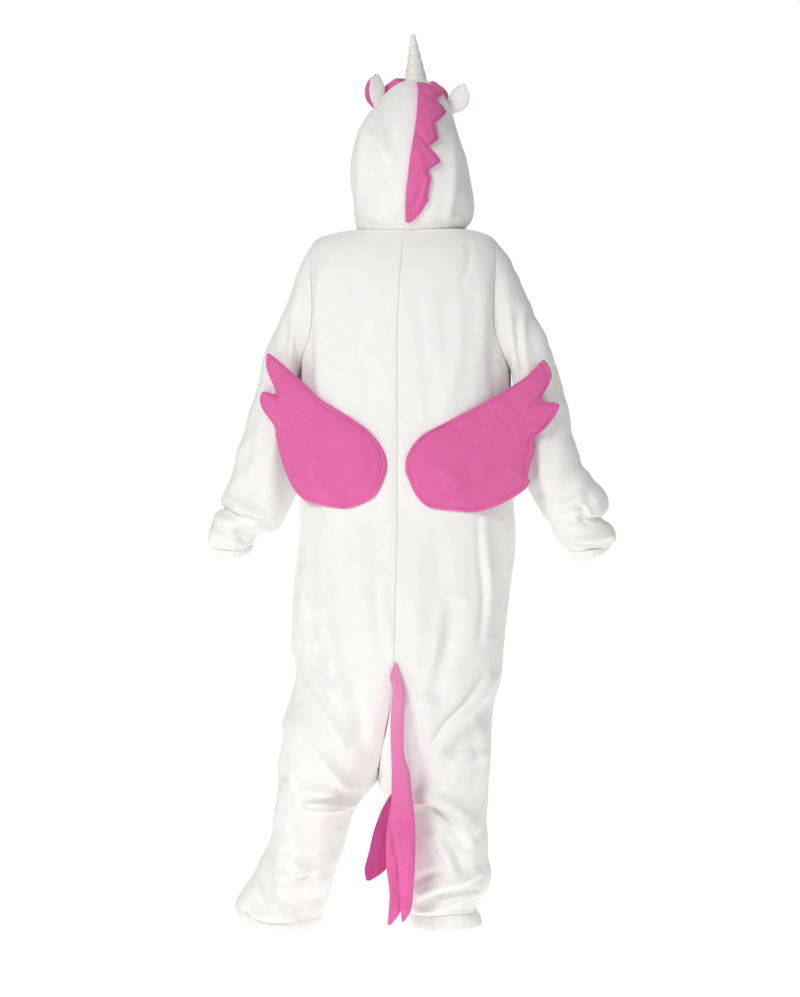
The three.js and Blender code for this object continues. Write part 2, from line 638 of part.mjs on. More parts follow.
const WING_BEND = 108;
const WING_FALL = 0.34;
const WING_GAP = 1.6;
const WING_PAD = 13;
const WING_EDGE = 3;
const WING_RINGS = [0.3, 0.75, 1];
const WING_COLUMNS = "x z";
const WINGS = [
  {
    name: "wing_left",
    middle: [160, -385],
    outline: table(WING_COLUMNS, [
      [257, -232], [263, -246], [260, -267], [243, -308], [268, -305], [276, -318], [271, -339],
      [247, -372], [242, -400], [228, -449], [210, -488], [186, -514], [155, -523], [109, -531],
      [76, -525], [48, -511], [32, -490], [20, -454], [26, -422], [52, -386], [92, -357],
      [150, -322], [184, -291], [224, -257],
    ]),
  },
  {
    name: "wing_right",
    middle: [-160, -395],
    outline: table(WING_COLUMNS, [
      [-274, -248], [-288, -273], [-284, -293], [-269, -324], [-296, -329], [-302, -339], [-282, -372],
      [-256, -398], [-257, -415], [-244, -466], [-247, -480], [-236, -497], [-198, -521], [-150, -537],
      [-105, -535], [-60, -528], [-36, -506], [-22, -476], [-16, -456], [-21, -427], [-46, -394],
      [-97, -365], [-150, -337], [-199, -308], [-237, -283], [-258, -263],
    ]),
  },
];

// Height of the back's own surface at a place, and of the line that bridges to the sleeve.
function backHeight(x, z) {
  const side = x > 0 ? LEFT : RIGHT;
  const row = sample(HALF[side], rowWhere(HALF[side], "z", z));
  const share = Math.min(1, Math.abs(x - row.in) / Math.abs(row.out - row.in));
  return row.back * (1 - share ** row.square) ** (1 / row.square);
}
function wingHeight(x, z) {
  const reach = Math.abs(x);
  const bend = backHeight(Math.sign(x) * Math.min(reach, WING_BEND), z);
  return WING_GAP + bend - WING_FALL * Math.max(0, reach - WING_BEND);
}

function wing({ middle, outline }) {
  const layer = (lift) => WING_RINGS.map((share) => outline.map(({ x, z }) => {
    const place = [mix(middle[0], x, share), mix(middle[1], z, share)];
    return new THREE.Vector3(place[0], wingHeight(...place) + lift(share), place[1]);
  }));
  const over = layer((share) => WING_EDGE + WING_PAD * (1 - share ** 3));
  const under = layer(() => 0);
  return solidCaps(over, under);
}

// A closed solid from two stacks of rings that share their outlines: the smallest ring of each
// is closed by a fan and the largest rings are joined by a wall.
function solidCaps(over, under) {
  const count = over[0].length;
  const rings = over.length;
  const hub = (stack) => stack[0].reduce((sum, p) => sum.add(p), new THREE.Vector3()).divideScalar(count);
  const points = [...over.flat(), ...under.flat(), hub(over), hub(under)];
  const top = (i, j) => i * count + (j % count);
  const low = (i, j) => (rings + i) * count + (j % count);
  const index = [];
  for (let j = 0; j < count; j += 1) {
    index.push(2 * rings * count, top(0, j), top(0, j + 1));
    index.push(2 * rings * count + 1, low(0, j + 1), low(0, j));
    for (let i = 0; i < rings - 1; i += 1) {
      index.push(top(i, j), top(i + 1, j), top(i + 1, j + 1), top(i, j), top(i + 1, j + 1), top(i, j + 1));
      index.push(low(i, j), low(i + 1, j + 1), low(i + 1, j), low(i, j), low(i, j + 1), low(i + 1, j + 1));
    }
    const edge = rings - 1;
    index.push(top(edge, j), low(edge, j), low(edge, j + 1));
    index.push(top(edge, j), low(edge, j + 1), top(edge, j + 1));
  }
  return turnedOut(points.flatMap((p) => p.toArray()), index);
}
WINGS.forEach((piece) => addPiece(piece.name, wing(piece), PINK));

// ---- the tail: three padded locks that hang from the seat seam -------------------------------------

const LOCK_COLUMNS = "z left right y thick";
const LOCKS = [
  {
    name: "tail_long",
    color: PINK,
    rows: table(LOCK_COLUMNS, [
      [-822, 2, -1, 156, 3], [-850, 6, -12, 158, 10], [-885, 7, -18, 160, 14], [-930, 10, -15, 161, 16],
      [-990, 9, -16, 161, 17], [-1030, 8, -26, 160, 19], [-1084, 9, -32, 158, 20],
      [-1133, 8, -36, 156, 20], [-1190, -1, -36, 154, 20], [-1240, -6, -33, 152, 17],
      [-1288, -8, -28, 150, 11], [-1312, -10, -14, 149, 4],
    ]),
  },
  {
    name: "tail_middle",
    color: PINK,
    rows: table(LOCK_COLUMNS, [
      [-1070, 8, -8, 142, 3], [-1110, 16, -22, 139, 13], [-1160, 22, -26, 136, 16],
      [-1215, 21, -24, 134, 16], [-1260, 16, -17, 132, 14], [-1300, 18, -3, 131, 9], [-1322, 20, 13, 130, 4],
    ]),
  },
  {
    name: "tail_short",
    color: DEEP_PINK,
    rows: table(LOCK_COLUMNS, [
      [-1074, 14, -2, 127, 3], [-1100, 30, 2, 123, 11], [-1140, 46, 6, 119, 14], [-1187, 58, 12, 116, 14],
      [-1220, 66, 26, 114, 12], [-1241, 63, 54, 113, 5],
    ]),
  },
];
const LOCK_SIDES = 10;

function tailLock({ rows }) {
  const rings = rows.map((row) => range(0, 2 * Math.PI, LOCK_SIDES).slice(0, -1).map((turn) => {
    const half = (row.left - row.right) / 2;
    const x = (row.left + row.right) / 2 + half * Math.cos(turn);
    return new THREE.Vector3(x, row.y + 0.5 * row.thick * Math.sin(turn), row.z);
  }));
  const hubs = [rings[0], rings[rings.length - 1]].map(
    (ring) => ring.reduce((sum, p) => sum.add(p), new THREE.Vector3()).divideScalar(LOCK_SIDES),
  );
  const count = rings.length;
  const at = (i, j) => i * LOCK_SIDES + (j % LOCK_SIDES);
  const index = [];
  for (let j = 0; j < LOCK_SIDES; j += 1) {
    index.push(count * LOCK_SIDES, at(0, j), at(0, j + 1));
    index.push(count * LOCK_SIDES + 1, at(count - 1, j + 1), at(count - 1, j));
    for (let i = 0; i < count - 1; i += 1) {
      index.push(at(i, j), at(i + 1, j), at(i + 1, j + 1), at(i, j), at(i + 1, j + 1), at(i, j + 1));
    }
  }
  return turnedOut([...rings.flat(), ...hubs].flatMap((p) => p.toArray()), index);
}
LOCKS.forEach((lock) => addPiece(lock.name, tailLock(lock), lock.color));

// ---- the front closing: a placket over the centre-front seam, with round buttons --------------------

const PLACKET_HALF = 17;
const PLACKET_WALL = 2.4;
const PLACKET_FROM = 0.6;
const PLACKET_TO = 12;
const PLACKET_ROWS = 16;

// The front surface at a sideways place, with its height, at a fractional row of the trunk.
function frontPoint(x, at) {
  const row = sample(HALF[LEFT], at);
  const share = Math.abs(x - row.in) / Math.abs(row.out - row.in);
  const sine = (1 - share ** row.square) ** 0.5;
  return bodyPlain(LEFT, at, -Math.asin(Math.min(1, sine))).setX(x);
}
function frontNormal(at) {
  return bodyNormal(LEFT, at, -Math.PI / 2);
}

function placket() {
  const layer = (lift) => range(PLACKET_FROM, PLACKET_TO, PLACKET_ROWS).map((at) => {
    const middle = sample(HALF[LEFT], at).in;
    return range(-PLACKET_HALF, PLACKET_HALF, 2).map(
      (x) => frontPoint(middle + x, at).addScaledVector(frontNormal(at), lift),
    );
  });
  return solidBetween(layer(LAY_GAP + PLACKET_WALL), layer(LAY_GAP), false);
}
addPiece("placket", placket(), WHITE);

const BUTTON_ROWS = [1.3, 4.4, 7.0, 9.0, 11.2];
const BUTTON_SIDES = 12;
const BUTTON_PROFILE = [[0, 0], [9, 0], [10, 2.4], [7.8, 3.1], [0, 2.4]];
BUTTON_ROWS.forEach((at, i) => {
  const profile = BUTTON_PROFILE.map(([radius, height]) => new THREE.Vector2(radius, height));
  const geometry = new THREE.LatheGeometry(profile, BUTTON_SIDES);
  const normal = frontNormal(at);
  geometry.applyQuaternion(new THREE.Quaternion().setFromUnitVectors(new THREE.Vector3(0, 1, 0), normal));
  const place = frontPoint(sample(HALF[LEFT], at).in, at);
  place.addScaledVector(normal, LAY_GAP + PLACKET_WALL + LAY_GAP);
  geometry.translate(place.x, place.y, place.z);
  addPiece(`button_${i + 1}`, geometry, BUTTON_WHITE, 0.35);
});

export default garment;
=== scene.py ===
# A hooded one-piece unicorn costume of white fleece, worn and hollow, seen as it hangs on its
# wearer's shoulders. Metres, +Z up, +X the wearer's left, -Y the wearer's front.
import math

import bmesh
import bpy
import numpy as np
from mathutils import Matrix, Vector


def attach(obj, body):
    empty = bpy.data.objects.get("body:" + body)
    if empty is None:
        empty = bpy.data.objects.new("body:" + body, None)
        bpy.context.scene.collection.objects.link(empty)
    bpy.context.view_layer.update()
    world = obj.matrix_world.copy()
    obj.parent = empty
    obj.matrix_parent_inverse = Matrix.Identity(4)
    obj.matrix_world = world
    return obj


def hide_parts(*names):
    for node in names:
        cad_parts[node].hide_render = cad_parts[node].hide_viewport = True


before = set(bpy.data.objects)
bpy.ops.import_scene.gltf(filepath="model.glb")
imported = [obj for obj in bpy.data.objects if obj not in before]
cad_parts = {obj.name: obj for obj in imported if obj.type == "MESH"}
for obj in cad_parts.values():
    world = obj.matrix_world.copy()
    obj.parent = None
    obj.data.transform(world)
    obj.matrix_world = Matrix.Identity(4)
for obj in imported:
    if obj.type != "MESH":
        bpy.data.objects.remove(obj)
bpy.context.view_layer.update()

# ---------------------------------------------------------------------------------------------
# Body: two back and two front panels of white fleece, cut in one from the neck to the ankles.
# They are sewn at the centre back and front, the shoulders, the sides and the inseams, and
# hang loose from the shoulders with a low crotch, in soft long folds.
# ---------------------------------------------------------------------------------------------
MM = 0.001
WALL = 2.2 * MM
HALF_GAP = 0.01 * MM
SEAM_PLACE = 0.03      # mm that a half stops short of its seam line
LEFT, RIGHT = 1, -1
BACK, FRONT = 1, -1
SIDE_NAMES = {LEFT: "left", RIGHT: "right"}

TRUNK = [
    # z, dz_back, dz_front, out_left, out_right, seam, back, front, opens, square
    [12, -8, -50, 96, -112, -8, 80, 62, 90, 2.0],
    [4, -20, -58, 148, -148, -7, 101, 87, 90, 2.1],
    [-13, -35, -63, 181, -176, -6, 118, 104, 90, 2.3],
    [-60, -30, -50, 197, -196, -4, 131, 118, 90, 2.4],
    [-130, -18, -30, 203, -202, -2, 138, 125, 90, 2.4],
    [-200, -6, -12, 203, -203, 0, 141, 129, 90, 2.4],
    [-262, 0, 0, 203, -203, 0, 141, 131, 90, 2.4],
    [-350, 0, 0, 204, -204, 0, 140, 132, 90, 2.4],
    [-440, 0, 0, 206, -206, 0, 139, 133, 90, 2.3],
    [-520, 0, 0, 207, -210, 0, 139, 134, 90, 2.3],
    [-580, 0, 0, 209, -213, 0, 141, 135, 90, 2.3],
    [-640, 0, 0, 217, -209, 1, 145, 136, 90, 2.3],
    [-700, 0, 0, 222, -201, 2, 149, 136, 90, 2.3],
    [-760, 0, 0, 223, -194, 3, 151, 135, 90, 2.3],
    [-815, 0, 0, 219, -190, 4, 151, 133, 92, 2.2],
    [-860, 0, 0, 216, -184, 8, 148, 130, 98, 2.2],
    [-905, 0, 0, 227, -174, 14, 142, 125, 108, 2.1],
    [-950, 0, 0, 239, -166, 24, 134, 119, 120, 2.1],
    [-995, 0, 0, 246, -166, 36, 124, 112, 134, 2.0],
    [-1035, 0, 0, 250, -164, 47, 114, 105, 152, 2.0],
]
LEGS = {
    # z, dz_out, dz_in, out, inner, back, front, square
    LEFT: [
        [-1064, 0, 0, 252, 57, 107, 100, 2.0],
        [-1090, 0, 0, 254, 80, 103, 96, 2.0],
        [-1125, 0, 0, 260, 101, 98, 93, 2.0],
        [-1165, 0, 0, 265, 115, 94, 91, 2.0],
        [-1205, 2, 0, 277, 127, 92, 90, 2.0],
        [-1245, 6, 0, 297, 140, 91, 92, 2.0],
        [-1285, 14, 2, 321, 152, 90, 96, 2.0],
        [-1330, 34, 6, 334, 163, 89, 98, 2.0],
    ],
    RIGHT: [
        [-1064, 0, 0, -162, 55, 107, 100, 2.0],
        [-1090, 0, 0, -160, 41, 103, 96, 2.0],
        [-1125, 0, 0, -159, 33, 98, 93, 2.0],
        [-1165, 0, 0, -160, 30, 94, 90, 2.0],
        [-1205, 0, 0, -162, 27, 92, 88, 2.0],
        [-1245, 0, 0, -166, 25, 91, 87, 2.0],
        [-1280, 0, 0, -160, 22, 87, 84, 2.0],
        [-1300, 0, 0, -138, 18, 76, 74, 2.0],
        [-1312, 0, 0, -140, 15, 74, 72, 2.0],
    ],
}
HALF_COLUMNS = "z dz_back dz_front dz_out dz_in out inner back front opens square"
OUT, INNER, AT_BACK, OPENS, SQUARE = (
    HALF_COLUMNS.split().index(name) for name in ("out", "inner", "back", "opens", "square")
)


def half_table(side):
    """The trunk's rows and then one leg's, as rows of HALF_COLUMNS; opens is 180 on a leg."""
    rows = []
    for z, dz_back, dz_front, out_left, out_right, seam, back, front, opens, square in TRUNK:
        out = out_left if side == LEFT else out_right
        rows.append([z, dz_back, dz_front, 0, 0, out, seam + SEAM_PLACE * side, back, front, opens, square])
    for z, dz_out, dz_in, out, inner, back, front, square in LEGS[side]:
        rows.append([z, 0, 0, dz_out, dz_in, out, inner, back, front, 180, square])
    return np.array(rows, float)


HALF = {LEFT: half_table(LEFT), RIGHT: half_table(RIGHT)}


def through(rows, at):
    """Rows of numbers or points read at fractional rows, on a Catmull-Rom curve through them."""
    at = np.asarray(at, float)
    last = len(rows) - 1
    low = np.clip(np.floor(at).astype(int), 0, last - 1)
    part = (at - low).reshape(at.shape + (1,) * (rows.ndim - 1))
    a, b, c, d = (rows[np.clip(low + step, 0, last)] for step in (-1, 0, 1, 2))
    bend = 2 * a - 5 * b + 4 * c - d + part * (3 * (b - c) + d - a)
    return b + 0.5 * part * (c - a + part * bend)


def section(columns, rows, side, angle):
    """Points of half sections in metres. Angle is 90 degrees at the centre back, 0 at the side
    and -90 at the centre front: x and y are a superellipse from the outer side to the seam, and
    the height moves with the squares of the angle's sine and cosine."""
    row = {name: rows[..., i, None] for i, name in enumerate(columns.split())}
    cosine, sine = np.cos(angle), np.sin(angle)
    power = 2 / row["square"]
    bent = [np.sign(value) * np.abs(value) ** power for value in (cosine, sine)]
    opens = np.abs(np.cos(np.radians(row["opens"]))) ** power
    half = np.abs(row["out"] - row["inner"]) / (1 + opens)
    x = row["out"] + side * half * (bent[0] - 1)
    y = np.where(sine > 0, row["back"], row["front"]) * bent[1]
    drop = np.where(sine > 0, row["dz_back"], row["dz_front"]) * sine**2
    lift = np.where(cosine > 0, row["dz_out"], row["dz_in"]) * cosine**2
    return np.stack([x, y, row["z"] + drop + lift], -1) * MM


def outward(surface, u, v, middle):
    """Unit normals of surface(u, v) by central differences, turned away from the middle line."""
    step = 1e-3
    along_u = surface(u + step, v) - surface(u - step, v)
    along_v = surface(u, v + step) - surface(u, v - step)
    normal = np.cross(along_u, along_v)
    normal /= np.maximum(np.linalg.norm(normal, axis=-1, keepdims=True), 1e-12)
    away = surface(u, v) - middle
    away[..., 2] = 0
    facing = np.sum(normal * away, -1, keepdims=True)
    return normal * np.where(facing < 0, -1, 1)


def body_rows(side, at):
    """The half's rows at fractional places, with opens kept from 90 to 180 degrees, so that the
    two halves always meet on their seam."""
    rows = through(HALF[side], at)
    rows[..., OPENS] = np.clip(rows[..., OPENS], 90, 180)
    return rows


def body_plain(side, at, angle):
    return section(HALF_COLUMNS, body_rows(side, at), side, angle)


def body_normal(side, at, angle):
    row = body_rows(side, at)
    opens = np.abs(np.cos(np.radians(row[:, OPENS]))) ** (2 / row[:, SQUARE])
    middle = np.zeros((len(at), 1, 3))
    half = np.abs(row[:, OUT] - row[:, INNER]) / (1 + opens)
    middle[:, 0, 0] = (row[:, OUT] - side * half) * MM
    return outward(lambda u, v: body_plain(side, u, v), at, angle, middle)


# Folds of a face, as seen from behind for the back and mirrored for the front: height in mm
# (below 0 a trough), half width in mm, lean (a crisp trough on one side, left of the path where
# above 0) and a path of (x, z) points in mm, which the fold follows and fades out along.
BACK_FOLDS = [
    # along the centre seam between the wings
    (-4, 7, 0.0, [(2, -360), (1, -440), (1, -540)]),
    # beside the armholes
    (-7, 11, 0.3, [(176, -50), (182, -130), (180, -250), (186, -330)]),
    (6, 12, 0.3, [(156, -50), (160, -170), (150, -340)]),
    (-6, 10, -0.3, [(-186, -55), (-184, -140), (-176, -240), (-186, -320)]),
    (4, 18, 0.0, [(-160, -60), (-158, -190), (-140, -320)]),
    (-4, 14, 0.3, [(126, -40), (124, -150), (104, -320)]),
    (3, 14, 0.0, [(-120, -120), (-112, -260), (-60, -420)]),
    (-4, 16, 0.0, [(84, -40), (76, -210), (40, -420)]),
    # small creases under the neck seam
    (-3, 8, 0.0, [(78, 0), (55, -14), (20, -20)]),
    (-3, 8, 0.0, [(-76, -2), (-48, -16), (-16, -22)]),
    (-2.5, 7, 0.0, [(-128, -10), (-134, -60), (-120, -110)]),
    # the waist and seat, below the wings
    (5, 15, 0.3, [(150, -548), (146, -650), (120, -800), (96, -900)]),
    (-5, 16, 0.0, [(118, -548), (112, -640), (92, -760)]),
    (4, 14, 0.0, [(72, -560), (62, -680), (44, -830)]),
    (-3, 10, 0.0, [(40, -560), (34, -700), (24, -800)]),
    (4, 12, 0.3, [(30, -640), (22, -730), (12, -812)]),
    (7, 9, 0.8, [(-162, -540), (-166, -620), (-172, -700), (-164, -790)]),
    (-5, 16, 0.0, [(-186, -560), (-190, -680), (-176, -780)]),
    (-3, 22, 0.0, [(-70, -540), (-78, -650), (-70, -760)]),
    (3, 16, 0.0, [(-30, -600), (-40, -740), (-36, -860)]),
    # long slanting folds from the left hip to the inner knee
    (11, 13, 0.8, [(214, -700), (196, -760), (150, -850), (104, -900)]),
    (8, 12, 0.7, [(190, -640), (176, -700), (152, -740)]),
    (13, 15, 0.9, [(218, -775), (190, -850), (140, -930), (96, -985)]),
    (9, 12, 0.8, [(206, -905), (168, -980), (120, -1045), (90, -1085)]),
    (-8, 20, 0.0, [(208, -860), (170, -920), (130, -965)]),
    (-7, 16, 0.0, [(236, -960), (228, -1010), (236, -1060)]),
    (6, 16, 0.5, [(150, -700), (138, -790), (110, -880)]),
    (-5, 12, 0.0, [(180, -700), (172, -790), (140, -860)]),
    # broad facets down the left leg
    (-9, 15, 0.5, [(226, -640), (204, -760), (196, -900), (150, -1010)]),
    (8, 15, 0.4, [(236, -930), (216, -1010), (188, -1100)]),
    (-7, 15, 0.0, [(84, -850), (72, -940), (66, -1010)]),
    (-8, 18, 0.4, [(-108, -700), (-96, -800), (-70, -900)]),
    (-9, 16, 0.5, [(-30, -905), (-40, -1000), (-44, -1070)]),
    # the back of the left knee and the calf
    (-17, 10, 0.5, [(190, -1096), (140, -1097), (104, -1092), (80, -1076)]),
    (9, 13, 0.0, [(190, -1070), (150, -1074), (110, -1068)]),
    (7, 16, 0.3, [(236, -1070), (212, -1150), (200, -1230)]),
    (-6, 14, 0.3, [(220, -1180), (180, -1212), (140, -1196), (118, -1160)]),
    (6, 14, 0.0, [(240, -1236), (190, -1262), (146, -1240)]),
    (-10, 12, 0.5, [(262, -1180), (262, -1240), (248, -1290)]),
    (-6, 13, 0.0, [(160, -1210), (196, -1270), (232, -1296)]),
    (6, 15, 0.0, [(200, -1310), (240, -1322), (296, -1312)]),
    (-5, 10, 0.3, [(150, -1285), (200, -1300), (250, -1330)]),
    # long slanting folds from the right hip to the inner thigh
    (10, 12, 0.9, [(-178, -846), (-140, -905), (-96, -955), (-62, -1010)]),
    (-6, 16, 0.0, [(-172, -900), (-130, -945), (-92, -1000)]),
    (7, 14, 0.5, [(-158, -1000), (-120, -1020), (-86, -1070)]),
    (6, 20, 0.0, [(-60, -880), (-50, -940), (-40, -1010)]),
    (5, 12, 0.5, [(-150, -930), (-158, -1010), (-150, -1090)]),
    # the back of the right knee and the bunched calf
    (-15, 9, -0.6, [(-28, -1106), (-62, -1108), (-104, -1140), (-128, -1188)]),
    (10, 13, 0.0, [(-30, -1082), (-70, -1086), (-112, -1112), (-142, -1160)]),
    (8, 12, 0.5, [(-60, -1150), (-88, -1190), (-104, -1238)]),
    (-7, 12, 0.0, [(-86, -1150), (-112, -1200), (-126, -1240)]),
    (9, 12, 0.7, [(-26, -1276), (-60, -1262), (-110, -1246), (-152, -1228)]),
    (-10, 8, 0.4, [(-36, -1294), (-66, -1282), (-108, -1272), (-150, -1262)]),
    (-9, 7, 0.3, [(-120, -1292), (-134, -1286), (-152, -1292)]),
    (7, 9, 0.0, [(-20, -1300), (-56, -1302), (-104, -1290)]),
    (-7, 7, 0.4, [(-24, -1250), (-52, -1234), (-84, -1226)]),
    (-6, 8, 0.4, [(170, -1240), (210, -1250), (262, -1246)]),
    (7, 9, 0.3, [(178, -1330), (230, -1340), (290, -1334)]),
]
FRONT_FOLDS = [
    (-7, 11, 0.3, [(176, -50), (180, -150), (172, -280)]),
    (-7, 11, -0.3, [(-176, -50), (-180, -150), (-172, -280)]),
    (5, 17, 0.3, [(140, -90), (128, -220), (112, -420)]),
    (5, 17, 0.3, [(-138, -100), (-130, -250), (-120, -400)]),
    (-4, 20, 0.0, [(96, -120), (84, -300), (70, -480)]),
    (-4, 20, 0.0, [(-92, -140), (-84, -330), (-66, -500)]),
    (7, 15, 0.6, [(196, -560), (170, -680), (130, -810)]),
    (7, 15, 0.6, [(-194, -540), (-160, -660), (-124, -800)]),
    (10, 16, 0.8, [(220, -790), (170, -890), (110, -980)]),
    (10, 16, 0.8, [(-178, -810), (-130, -900), (-70, -990)]),
    (-7, 18, 0.0, [(206, -880), (160, -960), (110, -1030)]),
    (-7, 18, 0.0, [(-160, -890), (-110, -960), (-60, -1040)]),
    (6, 12, 0.3, [(60, -600), (48, -720), (32, -850)]),
    (-5, 14, 0.0, [(-70, -620), (-58, -740), (-40, -860)]),
    (-11, 10, 0.5, [(228, -1120), (180, -1132), (120, -1112)]),
    (9, 14, 0.0, [(236, -1096), (180, -1104), (120, -1084)]),
    (-11, 10, -0.5, [(-146, -1140), (-90, -1150), (-10, -1120)]),
    (9, 14, 0.0, [(-146, -1112), (-90, -1122), (-8, -1094)]),
    (8, 13, 0.5, [(258, -1200), (200, -1236), (150, -1226)]),
    (-8, 12, 0.3, [(280, -1250), (220, -1280), (164, -1262)]),
    (8, 12, 0.5, [(-150, -1236), (-90, -1256), (-4, -1240)]),
    (-9, 9, 0.3, [(-150, -1266), (-90, -1282), (0, -1270)]),
]


def fold_relief(x, z, folds):
    """Height in metres at places in mm. Each fold is exp(-(d/w)^2) of the distance d to its
    smoothed path, less a narrow trough beside it where it leans, times sin(pi s)^0.6 along."""
    relief = np.zeros_like(x)
    for height, width, lean, path in folds:
        path = np.array(path, float)
        route = through(path, np.linspace(0, len(path) - 1, 8 * len(path)))
        near = (x > route[:, 0].min() - 4 * width) & (x < route[:, 0].max() + 4 * width)
        near &= (z > route[:, 1].min() - 4 * width) & (z < route[:, 1].max() + 4 * width)
        place = np.stack([x[near], z[near]], -1)[:, None]
        start, run = route[:-1], np.diff(route, axis=0)
        share = np.sum((place - start) * run, -1) / np.sum(run * run, -1)
        gap = place - start - np.clip(share, 0, 1)[..., None] * run
        distance = np.linalg.norm(gap, axis=-1)
        closest = np.argmin(distance, axis=1)
        pick = np.arange(len(closest)), closest
        turn = run[closest, 0] * gap[pick][:, 1] - run[closest, 1] * gap[pick][:, 0]
        signed = np.sign(turn) * distance[pick]
        travelled = (closest + np.clip(share[pick], 0, 1)) / len(run)
        ridge = np.exp(-((signed / width) ** 2))
        beside = np.sign(lean) * 1.25 * width
        trough = abs(lean) * np.exp(-(((signed - beside) / (0.55 * width)) ** 2)) if lean else 0
        relief[near] += height * (ridge - trough) * np.sin(np.pi * travelled) ** 0.6
    return relief * MM


def soft_waves(seed, u, v, u_length, v_length, height, count=14):
    """A gentle uneven surface: sines of random direction and phase, of about the given lengths
    in mm along u and v, that sum to about the given height in mm."""
    rng = np.random.default_rng(seed)
    total = np.zeros(np.broadcast(u, v).shape)
    for _ in range(count):
        stretch = rng.uniform(0.6, 1.7, 2)
        turn = rng.choice([-1, 1])
        phase = u / (u_length * stretch[0]) + turn * v / (v_length * stretch[1]) + rng.uniform()
        total += rng.uniform(0.5, 1) * np.sin(2 * np.pi * phase)
    return total * height / math.sqrt(count) * MM


def smooth(value, low, high):
    """0 below low, 1 above high, and a smooth cubic between."""
    share = np.clip((value - low) / (high - low), 0, 1)
    return share * share * (3 - 2 * share)


def body_relief(side, point, sine):
    """How far the cloth of the body stands off its plain form: its face's folds, fading out at
    the side seams, and soft waves that hang long on the trunk and lie shorter on the legs."""
    x, z = point[..., 0] / MM, point[..., 2] / MM
    fuller = 1 + 0.4 * smooth(-z, 560, 680)
    back = smooth(sine, 0.05, 0.4) * fuller * fold_relief(x, z, BACK_FOLDS)
    front = smooth(-sine, 0.05, 0.4) * fold_relief(x, z, FRONT_FOLDS)
    trunk = soft_waves(11, x, z, 70, 420, 1.6) + soft_waves(13, x, z, 34, 300, 0.7)
    trunk = trunk * smooth(z, -900, -600) * smooth(-z, 40, 160)
    legs = soft_waves(12, x + 0.4 * z, z, 80, 150, 2.0) * smooth(-z, 620, 900)
    return back + front + (trunk + legs) * smooth(-z, 20, 80)


NECK_FADE = 1.2      # rows below the neck seam over which the folds die out


def body_point(side, at, angle):
    point = body_plain(side, at, angle)
    relief = body_relief(side, point, np.sin(angle)) * smooth(at[:, None], 0, NECK_FADE)
    return point + relief[..., None] * body_normal(side, at, angle)


ARMHOLE_TOP, ARMHOLE_BOTTOM = 2, 6
ARMHOLE_ANGLE = math.radians(30)
ARMHOLE_STEPS = 48


def armhole(turn):
    """Fractional rows and angles of the armhole, an ellipse in height and angle."""
    high, low = TRUNK[ARMHOLE_TOP][0], TRUNK[ARMHOLE_BOTTOM][0]
    z = (high + low) / 2 + (high - low) / 2 * np.cos(turn)
    heights = [-row[0] for row in TRUNK]
    return np.interp(-z, heights, np.arange(len(TRUNK))), ARMHOLE_ANGLE * np.sin(turn)


def rows_between(table, first, last, step):
    """Fractional rows from first to last, about a step in mm apart in height."""
    index = np.arange(first, last + 1)
    heights = -table[index, 0]
    count = max(2, int(round((heights[-1] - heights[0]) / step)))
    return np.interp(np.linspace(heights[0], heights[-1], count + 1), heights, index)


def wall_mesh(name, outer, inner, closed=False):
    """A closed wall between two grids of points. A closed grid joins its last column to its
    first. Faces are turned outwards by the sign of the volume they enclose."""
    rows, columns = outer.shape[:2]
    points = np.concatenate([outer.reshape(-1, 3), inner.reshape(-1, 3)])
    grid = np.arange(rows * columns).reshape(rows, columns)
    if closed:
        grid = np.concatenate([grid, grid[:, :1]], axis=1)
    under = grid + rows * columns
    faces = [np.stack([grid[:-1, :-1], grid[:-1, 1:], grid[1:, 1:], grid[1:, :-1]], -1).reshape(-1, 4)]
    faces.append(faces[0][:, ::-1] + rows * columns)
    rims = [(grid[0], under[0], 1), (grid[-1], under[-1], -1)]
    if not closed:
        rims += [(grid[:, 0], under[:, 0], -1), (grid[:, -1], under[:, -1], 1)]
    for over, below, way in rims:
        rim = np.stack([over[:-1], below[:-1], below[1:], over[1:]], -1)
        faces.append(rim[:, ::way])
    walls = len(faces[0]) + len(faces[1])
    faces = np.concatenate(faces)
    a, b, c, d = (points[faces[:, k]] for k in range(4))
    volume = np.sum(a * np.cross(b, c)) + np.sum(a * np.cross(c, d))
    if volume < 0:
        faces = faces[:, ::-1]
    return quad_mesh(name, points, faces, np.arange(len(faces)) < walls)


def quad_mesh(name, points, faces, smooth_faces=None):
    """An object of four-sided faces, with its place in its mesh. All faces are smooth shaded but
    those that smooth_faces leaves out, such as the cut edge of a cloth."""
    mesh = bpy.data.meshes.new(name)
    mesh.vertices.add(len(points))
    mesh.vertices.foreach_set("co", np.ascontiguousarray(points, np.float32).ravel())
    mesh.loops.add(4 * len(faces))
    mesh.loops.foreach_set("vertex_index", np.ascontiguousarray(faces, np.int32).ravel())
    mesh.polygons.add(len(faces))
    mesh.polygons.foreach_set("loop_start", np.arange(0, 4 * len(faces), 4, dtype=np.int32))
    shading = np.ones(len(faces), bool) if smooth_faces is None else smooth_faces
    mesh.polygons.foreach_set("use_smooth", shading)
    mesh.update(calc_edges=True)
    mesh.validate()
    piece = bpy.data.objects.new(name, mesh)
    bpy.context.scene.collection.objects.link(piece)
    return piece


def hex_colour(code):
    """A linear colour from an sRGB hex value."""
    channels = [int(code[i:i + 2], 16) / 255 for i in (1, 3, 5)]
    return [c / 12.92 if c <= 0.04045 else ((c + 0.055) / 1.055) ** 2.4 for c in channels] + [1.0]


